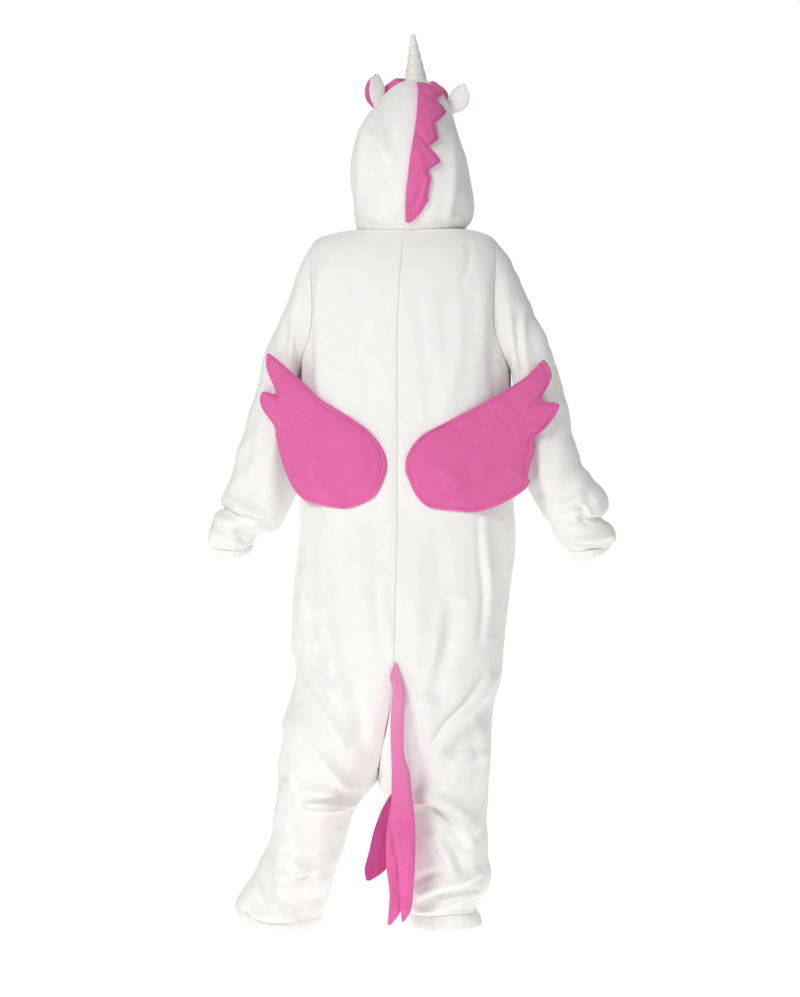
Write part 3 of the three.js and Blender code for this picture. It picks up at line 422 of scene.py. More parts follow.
def add_node(tree, kind, settings=(), **inputs):
    """A node with its settings, and each named input set to a value or linked to a socket."""
    node = tree.nodes.new(kind)
    for name, value in dict(settings).items():
        setattr(node, name, value)
    for name, value in inputs.items():
        socket = node.inputs[name.replace("_", " ")]
        if isinstance(value, bpy.types.NodeSocket):
            tree.links.new(value, socket)
        else:
            socket.default_value = value
    return node


def new_material(name):
    material = bpy.data.materials.new(name)
    material.use_nodes = True
    material.node_tree.nodes.clear()
    return material, material.node_tree


# Brushed polyester fleece: a matt face with a short nap that lifts pale at grazing angles. The
# nap's tufts are under 1 mm and are drawn 3 mm wide, so that they show; brushing leaves wider
# patches where the pile lies one way or the other.
TUFT = 3 * MM
BRUSHED_PATCH = 38 * MM
PILLED = 11 * MM


def fleece(name, colour, shade, sheen_tint, sheen):
    material, tree = new_material(name)
    place = add_node(tree, "ShaderNodeTexCoord").outputs["Object"]
    patch = add_node(tree, "ShaderNodeTexNoise", Vector=place, Scale=1 / BRUSHED_PATCH, Detail=4.0)
    pile = add_node(tree, "ShaderNodeTexNoise", Vector=place, Scale=1 / PILLED, Detail=3.0, Roughness=0.6)
    tuft = add_node(tree, "ShaderNodeTexNoise", Vector=place, Scale=1 / TUFT, Detail=3.0, Roughness=0.7)
    ramp = add_node(tree, "ShaderNodeValToRGB", Fac=patch.outputs["Fac"])
    for element, position, code in zip(ramp.color_ramp.elements, (0.3, 0.7), (shade, colour)):
        element.position = position
        element.color = hex_colour(code)
    nap = add_node(tree, "ShaderNodeBump", Strength=0.35, Distance=0.7 * MM, Height=tuft.outputs["Fac"])
    soft = add_node(
        tree, "ShaderNodeBump", Strength=0.3, Distance=1.6 * MM, Height=pile.outputs["Fac"],
        Normal=nap.outputs["Normal"],
    )
    shader = add_node(
        tree, "ShaderNodeBsdfPrincipled", Base_Color=ramp.outputs["Color"], Roughness=0.92,
        Sheen_Weight=sheen, Sheen_Roughness=0.55, Sheen_Tint=hex_colour(sheen_tint),
        Normal=soft.outputs["Normal"], Specular_IOR_Level=0.2,
    )
    add_node(tree, "ShaderNodeOutputMaterial", Surface=shader.outputs["BSDF"])
    return material


WHITE_FLEECE = fleece("white brushed fleece", "#F8F8F5", "#F5F6F3", "#FFFFFF", 0.25)
SEAM_ROLL = 0.45 * MM
SEAM_WIDTH = 2.4 * MM
PANEL_STEP = 5.0
PANEL_EDGE = [0, 0.006, 0.013, 0.022, 0.033]
PANEL_ACROSS = np.concatenate([PANEL_EDGE, np.linspace(0.05, 0.95, 50), 1 - np.array(PANEL_EDGE[::-1])])


def seam_roll(points, sides):
    """How far cloth turns in at a seam: a soft drop that is deepest on the grid's named sides,
    by the distance from them along the grid."""
    across = np.cumsum(np.linalg.norm(np.diff(points, axis=1, prepend=points[:, :1]), axis=-1), axis=1)
    down = np.cumsum(np.linalg.norm(np.diff(points, axis=0, prepend=points[:1]), axis=-1), axis=0)
    gaps = {
        "first column": across, "last column": across[:, -1:] - across,
        "first row": down, "last row": down[-1:] - down,
    }
    return -sum(SEAM_ROLL * np.exp(-((gaps[side] / SEAM_WIDTH) ** 2)) for side in sides)


def body_panel(side, face):
    turn = np.linspace(0, np.pi, ARMHOLE_STEPS + 1)
    hole_at, hole_angle = armhole(turn)
    last = len(HALF[side]) - 1
    yoke = np.linspace(0, ARMHOLE_TOP, 13)[:-1]
    below = rows_between(HALF[side], ARMHOLE_BOTTOM, last, PANEL_STEP)[1:]
    at = np.concatenate([yoke, hole_at, below])
    end = np.concatenate([0 * yoke, hole_angle, 0 * below])
    start = np.radians(body_rows(side, at)[:, OPENS])
    angle = face * (start[:, None] + (end - start)[:, None] * PANEL_ACROSS)
    normal = body_normal(side, at, angle)
    outer = body_point(side, at, angle)
    roll = seam_roll(outer, ["first column", "last column", "last row"])
    outer = outer + roll[..., None] * normal
    for edge, beside in ((0, 1), (-1, -2)):
        way = outer[:, beside] - outer[:, edge]
        outer[:, edge] += HALF_GAP * way / np.linalg.norm(way, axis=-1, keepdims=True)
    name = f"{'back' if face == BACK else 'front'}_{SIDE_NAMES[side]}"
    piece = wall_mesh(f"{name}_cloth", outer, outer - WALL * normal)
    piece.data.materials.append(WHITE_FLEECE)
    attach(piece, "root")
    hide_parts(name)
    return piece


for side in (LEFT, RIGHT):
    for face in (BACK, FRONT):
        panel = body_panel(side, face)

# ---------------------------------------------------------------------------------------------
# Ankle bands: a folded strip of the same fleece round each ankle, gathered on to the leg.
# The left one has slipped down wide over the heel; the right one holds the bunched leg up.
# ---------------------------------------------------------------------------------------------
BAND_WALL = 2.6 * MM
BAND_STEPS = 14
BAND_PUCKERS = 26
HEM_BULGE, PUCKER_HEIGHT, HEM_DRIFT = 3.2 * MM, 0.9 * MM, 0.6 * MM
BAND_TUCK = 2 * MM     # how far a band lies inside the edge that it gathers
ANKLE_HEMS = {
    LEFT: {"z": -1358, "dz_out": 40, "dz_in": 10, "out": 337, "inner": 170},
    RIGHT: {"z": -1343, "dz_out": 4, "dz_in": 14, "out": -150, "inner": 18},
}


def ring_normals(rings):
    """Unit normals of a closed grid of rings, pointing away from each ring's middle."""
    round_way = np.roll(rings, -1, axis=1) - np.roll(rings, 1, axis=1)
    run = np.gradient(rings, axis=0)
    normal = np.cross(round_way, run)
    normal /= np.linalg.norm(normal, axis=-1, keepdims=True)
    away = rings - rings.mean(axis=1, keepdims=True)
    return normal * np.where(np.sum(normal * away, -1, keepdims=True) < 0, -1, 1)


def band_relief(rings, steps, puckers, seed):
    """A rolled hem and gathers: a bulge between the two edges, rippled round the band."""
    down = np.linspace(0, 1, steps)[:, None]
    turn = np.linspace(0, 2 * np.pi, rings.shape[1], endpoint=False)[None]
    rng = np.random.default_rng(seed)
    drift = sum(rng.uniform(0.3, 1) * np.sin(k * turn + rng.uniform(0, 6)) for k in (2, 3, 5))
    bulge = HEM_BULGE * np.sin(np.pi * down) ** 0.7
    ripple = PUCKER_HEIGHT * np.sin(puckers * turn + 1.5 * drift) * (1 - 0.6 * down)
    return bulge + ripple + HEM_DRIFT * drift * down


turns = np.linspace(0, 2 * np.pi, 2 * ARMHOLE_STEPS, endpoint=False)
for side in (LEFT, RIGHT):
    top = HALF[side][-1]
    hem = top.copy()
    for column, value in ANKLE_HEMS[side].items():
        hem[HALF_COLUMNS.split().index(column)] = value
    rows = top + np.linspace(0, 1, BAND_STEPS)[:, None] * (hem - top)
    rings = section(HALF_COLUMNS, rows, side, np.pi - turns[None])
    rings[..., 2] -= np.linspace(2 * HALF_GAP, 0, BAND_STEPS)[:, None]
    normal = ring_normals(rings)
    relief = band_relief(rings, BAND_STEPS, BAND_PUCKERS, 21 + side) - BAND_TUCK
    outer = rings + relief[..., None] * normal
    name = f"ankle_band_{SIDE_NAMES[side]}"
    band = wall_mesh(f"{name}_cloth", outer, outer - BAND_WALL * normal, closed=True)
    band.data.materials.append(WHITE_FLEECE)
    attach(band, "root")
    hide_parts(name)

# ---------------------------------------------------------------------------------------------
# Sleeves: set-in tubes of the same fleece, each cut in one piece and sewn into its armhole.
# They hang down and out, bag over the forearm and bunch above a narrow gathered wrist band.
# ---------------------------------------------------------------------------------------------
SLEEVE_COLUMNS = "out_x out_z in_x in_z half mid_y sag"
SLEEVES = {
    LEFT: [
        [200, -42, 207, -274, 73, 0, 0],
        [214, -76, 210, -294, 73, 0, 0],
        [232, -124, 211, -322, 73, -1, 0],
        [250, -170, 212, -352, 72, -2, 0],
        [268, -216, 212, -384, 72, -3, 0],
        [285, -262, 212, -416, 71, -5, 0],
        [301, -308, 212, -446, 70, -7, 0],
        [316, -359, 213, -472, 70, -10, 0],
        [331, -412, 217, -494, 70, -13, 0],
        [346, -462, 225, -516, 70, -16, 0],
        [365, -513, 240, -546, 70, -19, 0],
        [363, -525, 260, -574, 66, -20, 0],
        [357, -530, 286, -581, 56, -21, 0],
        [376, -539, 297, -584, 55, -22, 0],
        [390, -558, 301, -592, 57, -23, 2],
        [398, -590, 305, -601, 55, -24, 6],
        [388, -604, 308, -604, 44, -25, 10],
    ],
    RIGHT: [
        [-198, -42, -207, -274, 73, 0, 0],
        [-214, -76, -210, -294, 73, 0, 0],
        [-234, -118, -211, -320, 73, -1, 0],
        [-252, -160, -212, -346, 72, -2, 0],
        [-272, -202, -213, -372, 72, -3, 0],
        [-289, -244, -214, -397, 71, -5, 0],
        [-303, -290, -217, -420, 70, -7, 0],
        [-315, -340, -221, -442, 70, -10, 0],
        [-322, -386, -228, -462, 70, -13, 0],
        [-334, -422, -235, -484, 70, -16, 0],
        [-341, -449, -243, -503, 70, -18, 0],
        [-362, -472, -252, -520, 70, -19, 0],
        [-387, -500, -262, -536, 68, -20, 0],
        [-392, -532, -278, -556, 64, -21, 0],
        [-372, -548, -284, -568, 56, -22, 0],
        [-398, -564, -288, -580, 57, -23, 2],
        [-406, -587, -303, -600, 55, -24, 4],
        [-398, -601, -314, -609, 44, -25, 8],
    ],
}
WRISTS = {
    LEFT: [380, -620, 311, -616, 40, -25, 12],
    RIGHT: [-390, -614, -326, -628, 40, -25, 9],
}
SLEEVE_FOLDS = {
    LEFT: [
        (-8, 9, 0.4, [(228, -150), (232, -230), (236, -290)]),
        (6, 14, 0.3, [(262, -180), (268, -260), (276, -330)]),
        (-5, 14, 0.0, [(280, -300), (300, -400), (312, -470)]),
        (6, 16, 0.4, [(246, -400), (262, -460), (262, -530)]),
        (5, 13, 0.0, [(318, -400), (330, -470), (338, -505)]),
        (-6, 8, 0.5, [(362, -526), (336, -524), (316, -532)]),
        (-11, 8, 0.6, [(350, -540), (320, -548), (288, -556), (262, -566)]),
        (-6, 6, 0.4, [(340, -566), (324, -576), (306, -586)]),
        (10, 10, 0.0, [(352, -512), (316, -530), (276, -552)]),
        (8, 9, 0.0, [(380, -548), (340, -560), (306, -578)]),
        (-8, 7, 0.3, [(334, -572), (322, -584), (312, -598)]),
        (7, 9, 0.0, [(392, -572), (364, -586), (330, -600)]),
        (-6, 7, 0.3, [(386, -596), (356, -606), (322, -606)]),
    ],
    RIGHT: [
        (-7, 9, -0.4, [(-222, -140), (-226, -220), (-232, -280)]),
        (6, 14, 0.3, [(-262, -150), (-272, -230), (-286, -300)]),
        (-6, 12, 0.3, [(-286, -250), (-292, -330), (-290, -400)]),
        (6, 15, 0.0, [(-262, -390), (-266, -450), (-262, -500)]),
        (-5, 10, 0.3, [(-250, -420), (-256, -470), (-270, -510)]),
        (8, 12, 0.5, [(-350, -500), (-322, -520), (-290, -530)]),
        (-8, 12, 0.0, [(-368, -512), (-336, -534), (-300, -546)]),
        (-13, 8, 0.6, [(-372, -548), (-350, -556), (-346, -536), (-330, -524)]),
        (9, 10, 0.0, [(-388, -536), (-352, -560), (-310, -566)]),
        (9, 9, 0.4, [(-400, -578), (-364, -592), (-312, -590)]),
        (-9, 7, 0.4, [(-400, -592), (-366, -604), (-318, -600)]),
    ],
}
SLEEVE_STEP = 4.0
SLEEVE_FADE = 9        # rings below the armhole over which the folds die out
FRONT_FOLD_DROP = 8    # mm that the front's folds lie below the back's
WRIST_PUCKERS = 15
WRIST_SHARE = 0.7      # of the ankle bands' relief


def sleeve_rings(rows, turn):
    """Rings about the middle of each row's outer and inner points, half deep in y, with the
    back of the ring lowered by its sag."""
    row = {name: rows[..., i, None] for i, name in enumerate(SLEEVE_COLUMNS.split())}
    reach, sine = np.cos(turn), np.sin(turn)
    x = (row["out_x"] + row["in_x"]) / 2 + (row["out_x"] - row["in_x"]) / 2 * reach
    z = (row["out_z"] + row["in_z"]) / 2 + (row["out_z"] - row["in_z"]) / 2 * reach
    y = row["mid_y"] + row["half"] * sine
    return np.stack([x, y + 0 * z, z - row["sag"] * np.maximum(0, sine)], -1) * MM


def steps_along(rings, step):
    """Fractional rows along a stack of rings, about a step in mm apart."""
    gaps = np.linalg.norm(np.diff(rings, axis=0), axis=-1).mean(axis=1) / MM
    length = np.concatenate([[0], np.cumsum(gaps)])
    count = int(round(length[-1] / step))
    return np.interp(np.linspace(0, length[-1], count + 1), length, np.arange(len(rings)))


for side in (LEFT, RIGHT):
    fold_back = np.where(turns <= np.pi, turns, 2 * np.pi - turns)
    hole_at, hole_angle = armhole(fold_back)
    hole_angle = np.where(turns <= np.pi, hole_angle, -hole_angle)
    hole = body_point(side, hole_at, hole_angle[:, None])[:, 0]
    table = np.array(SLEEVES[side], float)
    control = np.concatenate([hole[None], sleeve_rings(table, turns[None])])
    rings = through(control, steps_along(control, SLEEVE_STEP))
    normal = ring_normals(rings)
    sine = np.sin(turns)[None]
    x, z = rings[..., 0] / MM, rings[..., 2] / MM
    relief = smooth(sine, -0.1, 0.4) * fold_relief(x, z, SLEEVE_FOLDS[side])
    mirrored = [
        (height, width, lean, [(px, pz - FRONT_FOLD_DROP) for px, pz in path])
        for height, width, lean, path in SLEEVE_FOLDS[side]
    ]
    relief += 0.9 * smooth(-sine, 0.1, 0.5) * fold_relief(x, z, mirrored)
    inwards = smooth(-np.cos(turns)[None], 0.3, 0.8) * smooth(z, -480, -420)
    relief += soft_waves(31 + side, x + 0.5 * z, z, 60, 110, 1.7) * (1 - inwards)
    relief *= smooth(np.arange(len(rings))[:, None] + 0 * relief, 0, SLEEVE_FADE)
    roll = seam_roll(rings, ["first row", "last row"])
    outer = rings + (relief + roll)[..., None] * normal
    way = outer[1] - outer[0]
    outer[0] += 2 * HALF_GAP * way / np.linalg.norm(way, axis=-1, keepdims=True)
    name = f"sleeve_{SIDE_NAMES[side]}"
    sleeve = wall_mesh(f"{name}_cloth", outer, outer - WALL * normal, closed=True)
    sleeve.data.materials.append(WHITE_FLEECE)
    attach(sleeve, "root")
    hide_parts(name)

    ends = np.array([SLEEVES[side][-1], WRISTS[side]], float)
    rows = ends[0] + np.linspace(0, 1, BAND_STEPS)[:, None] * (ends[1] - ends[0])
    rings = sleeve_rings(rows, turns[None])
    rings[..., 2] -= np.linspace(2 * HALF_GAP, 0, BAND_STEPS)[:, None]
    normal = ring_normals(rings)
    relief = WRIST_SHARE * band_relief(rings, BAND_STEPS, WRIST_PUCKERS, 41 + side) - BAND_TUCK
    outer = rings + relief[..., None] * normal
    name = f"wrist_band_{SIDE_NAMES[side]}"
    band = wall_mesh(f"{name}_cloth", outer, outer - BAND_WALL * normal, closed=True)
    band.data.materials.append(WHITE_FLEECE)
    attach(band, "root")
    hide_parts(name)

# ---------------------------------------------------------------------------------------------
# Hood: two halves of the same fleece, sewn along the middle from the nape over the crown, and
# to the neck seam. It is open at the face, and its right side bags over the neck seam.
# ---------------------------------------------------------------------------------------------
HOOD_COLUMNS = "z dz_back dz_front out_left out_right seam back front edge square"
HOOD_Z, HOOD_SEAM, HOOD_EDGE = (HOOD_COLUMNS.split().index(name) for name in ("z", "seam", "edge"))
HOOD = np.array([
    [12, -8, -50, 96, -112, -8, 80, 62, -84, 2.0],
    [16, -9, -48, 97, -118, -9, 83, 66, -76, 2.0],
    [34, -6, -40, 99, -130, -11, 95, 76, -63, 2.1],
    [66, -2, -24, 102, -133, -14, 114, 90, -51, 2.1],
    [104, 0, -8, 107, -127, -19, 120, 98, -43, 2.1],
    [142, 0, 0, 108, -120, -24, 121, 102, -40, 2.1],
    [176, 0, 0, 103, -109, -29, 116, 103, -41, 2.1],
    [206, 0, 0, 92, -99, -32, 106, 102, -47, 2.0],
    [232, 0, 0, 74, -92, -33, 93, 98, -58, 2.0],
    [254, 0, 0, 58, -84, -32, 78, 92, -72, 2.0],
    [272, 0, 0, 44, -74, -30, 62, 82, -90, 2.0],
    [286, 0, 0, 30, -61, -26, 46, 64, -90, 2.0],
    [297, 0, 0, 14, -47, -22, 28, 42, -90, 2.0],
    [303, 0, 0, -3, -34, -20, 13, 19, -90, 2.0],
    [305, 0, 0, -13, -25, -19, 6, 6, -90, 2.0],
], float)
HOOD_STEP = 3.2
HOOD_FADE = 2.5       # rows above the neck seam over which the folds die out
HOOD_ACROSS = np.concatenate([PANEL_EDGE, np.linspace(0.05, 0.95, 62), 1 - np.array(PANEL_EDGE[::-1])])
HOOD_FOLDS = [
    (7, 10, 0.5, [(62, 246), (74, 190), (80, 120), (92, 30)]),
    (-6, 8, 0.4, [(66, 178), (44, 130), (20, 90), (2, 62)]),
    (5, 14, 0.0, [(52, 200), (30, 160), (6, 120)]),
    (4, 12, 0.0, [(30, 240), (34, 190), (24, 130)]),
    (-3, 14, 0.0, [(10, 260), (20, 200), (16, 150)]),
    (-4, 12, 0.0, [(92, 200), (98, 130), (94, 60)]),
    (7, 9, -0.5, [(-100, 215), (-102, 130), (-98, 60), (-84, 10)]),
    (-4, 12, 0.0, [(-118, 150), (-120, 90), (-112, 30)]),
    (-5, 6, 0.5, [(-92, 20), (-108, 6), (-124, -2)]),
    (4, 9, 0.0, [(-60, 46), (-88, 30), (-116, 24)]),
    (5, 10, 0.3, [(84, 44), (40, 22), (4, 22)]),
    (-4, 7, 0.0, [(84, 14), (50, 6), (20, 10)]),
    (3, 10, 0.3, [(-40, 36), (-60, 20), (-84, 16)]),
]


def hood_rows(side, at):
    """The hood's rows at fractional places, in the body's columns."""
    columns = np.moveaxis(through(HOOD, at), -1, 0)
    z, dz_back, dz_front, out_left, out_right, seam, back, front, _, square = columns
    none = np.zeros_like(z)
    out = out_left if side == LEFT else out_right
    seam = seam + SEAM_PLACE * side
    return np.stack([z, dz_back, dz_front, none, none, out, seam, back, front, none + 90, square], -1)


def hood_plain(side, at, angle):
    return section(HALF_COLUMNS, hood_rows(side, at), side, angle)


def hood_normal(side, at, angle):
    row = through(HOOD, at)
    seam = row[:, HOOD_SEAM]
    middle = np.stack([seam, 0 * seam, row[:, HOOD_Z]], -1)[:, None] * MM
    at = np.clip(at, 0, len(HOOD) - 1.02)
    return outward(lambda u, v: hood_plain(side, u, v), at, angle, middle)


for side in (LEFT, RIGHT):
    arc = hood_plain(side, np.arange(len(HOOD)), np.full((len(HOOD), 1), math.radians(60)))
    at = steps_along(arc, HOOD_STEP)
    edge = np.radians(np.clip(through(HOOD, at)[:, HOOD_EDGE], -90, 0))
    start = math.radians(90)
    angle = start + (edge - start)[:, None] * HOOD_ACROSS
    normal = hood_normal(side, at, angle)
    plain = hood_plain(side, at, angle)
    x, z = plain[..., 0] / MM, plain[..., 2] / MM
    relief = smooth(np.sin(angle), 0.0, 0.3) * fold_relief(x, z, HOOD_FOLDS)
    relief += soft_waves(51, x, z, 60, 120, 1.0) * smooth(290 - z, 0, 40)
    relief *= smooth(at[:, None], 0, HOOD_FADE)
    relief += seam_roll(plain, ["first column"])
    outer = plain + relief[..., None] * normal
    outer[0, :, 2] += 2 * HALF_GAP
    name = f"hood_{SIDE_NAMES[side]}"
    hood = wall_mesh(f"{name}_cloth", outer, outer - WALL * normal)
    hood.data.materials.append(WHITE_FLEECE)
    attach(hood, "root")
    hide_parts(name)

# ---------------------------------------------------------------------------------------------
# Mane and forelock: pads of pink fleece let into the hood's middle seam. The mane lies over to
# the wearer's right with a scalloped edge; the forelock falls over the front of the crown.
# ---------------------------------------------------------------------------------------------
PINK_FLEECE = fleece("pink brushed fleece", "#E86EAB", "#E168A5", "#F7B6D6", 0.35)
PAD_GAP = 1.2 * MM
MANE = np.array([
    # the hood row that it is at, and how far it reaches in mm
    [11.2, 12], [10.0, 58], [9.0, 34], [7.9, 56], [6.9, 35], [5.9, 56], [5.4, 36],
    [4.7, 70], [4.2, 42], [3.8, 52], [3.1, 48], [2.8, 50], [2.2, 32], [1.6, 8],
], float)
MANE_FOLDS = [
    # across from the seam, down from the crown
    (-4, 5, 0.4, [(4, -30), (24, -52), (44, -60)]),
    (-4, 5, 0.3, [(2, -110), (20, -128), (34, -150)]),
    (3, 7, 0.0, [(6, -150), (22, -178), (30, -205)]),
    (-4, 8, 0.3, [(30, -225), (24, -262), (8, -292)]),
]
MANE_STEPS = 220
MANE_LENGTH = 320
MANE_RIM, MANE_PUFF = 1.5, 8.5
MANE_STITCH_DEPTH, MANE_STITCH_INSET, MANE_STITCH_WIDTH = 2.4, 7, 2.2
MANE_ACROSS = np.concatenate([
    [0, 0.01, 0.03, 0.06], np.linspace(0.1, 0.86, 20), [0.9, 0.935, 0.96, 0.98, 0.992, 1.0],
])


def hood_pad(name, place, thickness):
    """A padded piece on the hood: its underside is the hood's surface moved out by a small gap
    and its face that underside moved out by the thickness."""
    under, over = [], []
    side, at, angle = place
    for half in (LEFT, RIGHT):
        flat = at.ravel()
        base = hood_plain(half, flat, angle.reshape(-1, 1))[:, 0]
        normal = hood_normal(half, flat, angle.reshape(-1, 1))[:, 0]
        under.append((base + PAD_GAP * normal).reshape(at.shape + (3,)))
        over.append((base + (PAD_GAP + thickness.reshape(-1, 1)) * normal).reshape(at.shape + (3,)))
    choose = (side == LEFT)[..., None]
    return wall_mesh(name, np.where(choose, over[0], over[1]), np.where(choose, under[0], under[1]))


def rounded(share, sharpness):
    """1 across the middle of a pad and falling like a quarter circle to 0 at share 1."""
    return np.sqrt(np.clip(1 - share**sharpness, 0, 1))


down, across = np.meshgrid(np.linspace(0, 1, MANE_STEPS), MANE_ACROSS, indexing="ij")
row = through(MANE, down * (len(MANE) - 1))
at = row[..., 0]
reach = np.maximum(np.interp(down * (len(MANE) - 1), np.arange(len(MANE)), MANE[:, 1]), 4)
flat = at.ravel()
tick = 0.01
arc = hood_plain(RIGHT, flat, np.full((flat.size, 1), math.pi / 2 - tick))[:, 0]
arc = np.linalg.norm(arc - hood_plain(RIGHT, flat, np.full((flat.size, 1), math.pi / 2))[:, 0], axis=-1)
arc = arc.reshape(at.shape) / tick / MM
angle = math.pi / 2 - np.minimum((1 + across * reach) / arc, math.radians(84))
ends = np.sin(np.pi * np.clip(down, 0.004, 0.996)) ** 0.35
thick = (MANE_RIM + MANE_PUFF * rounded(across, 7) * ends) * MM
thick += fold_relief(across * reach, -MANE_LENGTH * down, MANE_FOLDS)
from_stitch = (1 - across) * reach - MANE_STITCH_INSET
thick -= MANE_STITCH_DEPTH * MM * np.exp(-((from_stitch / MANE_STITCH_WIDTH) ** 2)) * ends
thick += soft_waves(61, across * reach, down * MANE_LENGTH, 34, 60, 0.8) * ends * (1 - across)
mane = hood_pad("mane_pad", (np.full(at.shape, RIGHT), at, angle), np.maximum(thick, 1.0 * MM))
mane.data.materials.append(PINK_FLEECE)
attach(mane, "root")
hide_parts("mane")

FORELOCK_TOP = 12.1
FORELOCK_END = 9.4
FORELOCK_LOCKS = 4
FORELOCK_SPREAD = math.radians(158)
FORELOCK_RIM, FORELOCK_PUFF = 1.6, 13
FORELOCK_FULLER = 0.95    # how much thicker it is on the wearer's left
down, share = np.meshgrid(np.linspace(0, 1, 60), np.linspace(0, 1, 160), indexing="ij")
turn = (share - 0.5) * FORELOCK_SPREAD
locks = 0.5 * np.abs(np.sin(np.pi * FORELOCK_LOCKS * share))
at = FORELOCK_TOP + down * (0.55 + 0.45 * np.cos(turn)) * (FORELOCK_END - locks - FORELOCK_TOP)
edges = rounded(2 * np.abs(share - 0.5), 6) * rounded(2 * np.abs(down - 0.5), 4)
parting = np.abs(np.sin(np.pi * FORELOCK_LOCKS * share))
fullness = 0.55 + 0.45 * parting * smooth(down, 0.2, 0.8) + 0.3 * (1 - down)
thick = (FORELOCK_RIM + FORELOCK_PUFF * edges * fullness) * MM
forelock = hood_pad(
    "forelock_pad",
    (np.where(turn >= 0, RIGHT, LEFT), at, np.abs(turn) - math.pi / 2),
    thick * (1 + FORELOCK_FULLER * smooth(-turn, 0, 0.5)),
)
forelock.data.materials.append(PINK_FLEECE)
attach(forelock, "root")
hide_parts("forelock")

# ---------------------------------------------------------------------------------------------
# Ears: two leaves each, a white fleece back and a smaller pink fleece face, sewn edge to edge,
# turned and pinched at the foot, so that the ear curls about its middle line.
# ---------------------------------------------------------------------------------------------
EAR_HEIGHT = 66
EAR_HALF_WIDTH = 21
EAR_WALL = 2.2
EAR_SHAPE = np.array([[0.22], [0.72], [1.0], [1.0], [0.74], [0.08]])
EARS = {
    "left": {
        "base": (55, 6, 250), "up": (-0.02, -0.04, 1), "face": (0.96, 0.28, 0.0), "curl": 30,
        "belly": 13, "aside": 0, "cut": {"flat": (0.08, 0.07), "area": 0.0045},
    },
    "right": {
        "base": (-80, 2, 238), "up": (-0.5, 0.05, 0.86), "face": (-0.5, -0.82, 0.1), "curl": 10, "belly": 0,
        "aside": -1.6, "cut": {"flat": (0.05, 0.066), "area": 0.0026},
    },
}


def ear_leaf(ear, scale, depth):
    """A leaf: half width by height from EAR_SHAPE, curled forwards by the square of the place
    across it, at a depth in mm along the way that the ear faces."""
    up = np.array(ear["up"]) / np.linalg.norm(ear["up"])
    face = np.array(ear["face"]) - np.dot(ear["face"], up) * up
    face /= np.linalg.norm(face)
    high, wide = np.meshgrid(np.linspace(0, 1, 36), np.linspace(-1, 1, 29), indexing="ij")
    half = through(EAR_SHAPE, high * (len(EAR_SHAPE) - 1))[..., 0]
    height = EAR_HEIGHT * (0.5 * (1 - scale) + scale * high)
    curl = depth + ear["curl"] * half * wide**2 - ear["belly"] * np.sin(np.pi * high)
    sideways = EAR_HALF_WIDTH * scale * half * wide + (ear["aside"] if depth > 0 else 0)
    point = height[..., None] * up + sideways[..., None] * np.cross(up, face)
    return (np.array(ear["base"]) + point + curl[..., None] * face) * MM


EAR_LAYERS = [
    # layer, scale, depth in mm, material, slot
    ("back", 1.0, 0.0, WHITE_FLEECE, "fleece_white"),
    ("face", 0.97, EAR_WALL + 0.4, PINK_FLEECE, "fleece_pink"),
]
for name, ear in EARS.items():
    for layer, scale, depth, material, slot in EAR_LAYERS:
        leaf = wall_mesh(
            f"ear_{name}_{layer}_leaf", ear_leaf(ear, scale, depth + EAR_WALL), ear_leaf(ear, scale, depth),
        )
        leaf.data.materials.append(material)
        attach(leaf, "root")
        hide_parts(f"ear_{name}_{layer}")

# ---------------------------------------------------------------------------------------------
# Horn: an off-white satin cone, stuffed hard and bound round with a cord that pulls a spiral
# groove into it. It stands on the crown and is sewn down round its foot.
# ---------------------------------------------------------------------------------------------
HORN_BASE = np.array([-19, -8, 300])
HORN_TIP = np.array([-12, -12, 396])
HORN_RADIUS = 22
HORN_WRAPS = 5.0
HORN_GROOVE = 2.4
HORN_GROOVE_WIDTH = 0.085    # of one wrap
HORN_TAPER = 0.86
HORN_BLUNT = 0.8
HORN_RINGS = 150


def satin(name, colour):
    """Polyester satin: long floats that give a soft broad gloss along the weave, over small
    wrinkles where it is pulled round the stuffing."""
    material, tree = new_material(name)
    place = add_node(tree, "ShaderNodeTexCoord").outputs["Object"]
    pull = add_node(tree, "ShaderNodeTexNoise", Vector=place, Scale=1 / (7 * MM), Detail=3.0)
    bump = add_node(tree, "ShaderNodeBump", Strength=0.25, Distance=0.4 * MM, Height=pull.outputs["Fac"])
    shader = add_node(
        tree, "ShaderNodeBsdfPrincipled", Base_Color=hex_colour(colour), Roughness=0.36,
        Anisotropic=0.4, Sheen_Weight=0.3, Normal=bump.outputs["Normal"],
    )
    add_node(tree, "ShaderNodeOutputMaterial", Surface=shader.outputs["BSDF"])
    return material


def closed_tube(name, rings):
    """A closed mesh from rings whose first and last have shrunk to a point."""
    count = rings.shape[1]
    points = rings.reshape(-1, 3)
    grid = np.arange(len(points)).reshape(rings.shape[:2])
    grid = np.concatenate([grid, grid[:, :1]], axis=1)
    faces = np.stack([grid[:-1, :-1], grid[:-1, 1:], grid[1:, 1:], grid[1:, :-1]], -1).reshape(-1, 4)
    a, b, c = (points[faces[:, k]] for k in (0, 1, 2))
    if np.sum(a * np.cross(b, c)) < 0:
        faces = faces[:, ::-1]
    piece = quad_mesh(name, points, faces)
    merge_ends(piece, count)
    return piece


def merge_ends(piece, count):
    """Joins the points of the first and the last ring of a tube."""
    mesh = bmesh.new()
    mesh.from_mesh(piece.data)
    mesh.verts.ensure_lookup_table()
    for ring in (mesh.verts[:count], mesh.verts[-count:]):
        bmesh.ops.pointmerge(mesh, verts=ring, merge_co=sum((v.co for v in ring), ring[0].co * 0) / count)
    bmesh.ops.dissolve_degenerate(mesh, dist=1e-7, edges=mesh.edges)
    mesh.to_mesh(piece.data)
    mesh.free()


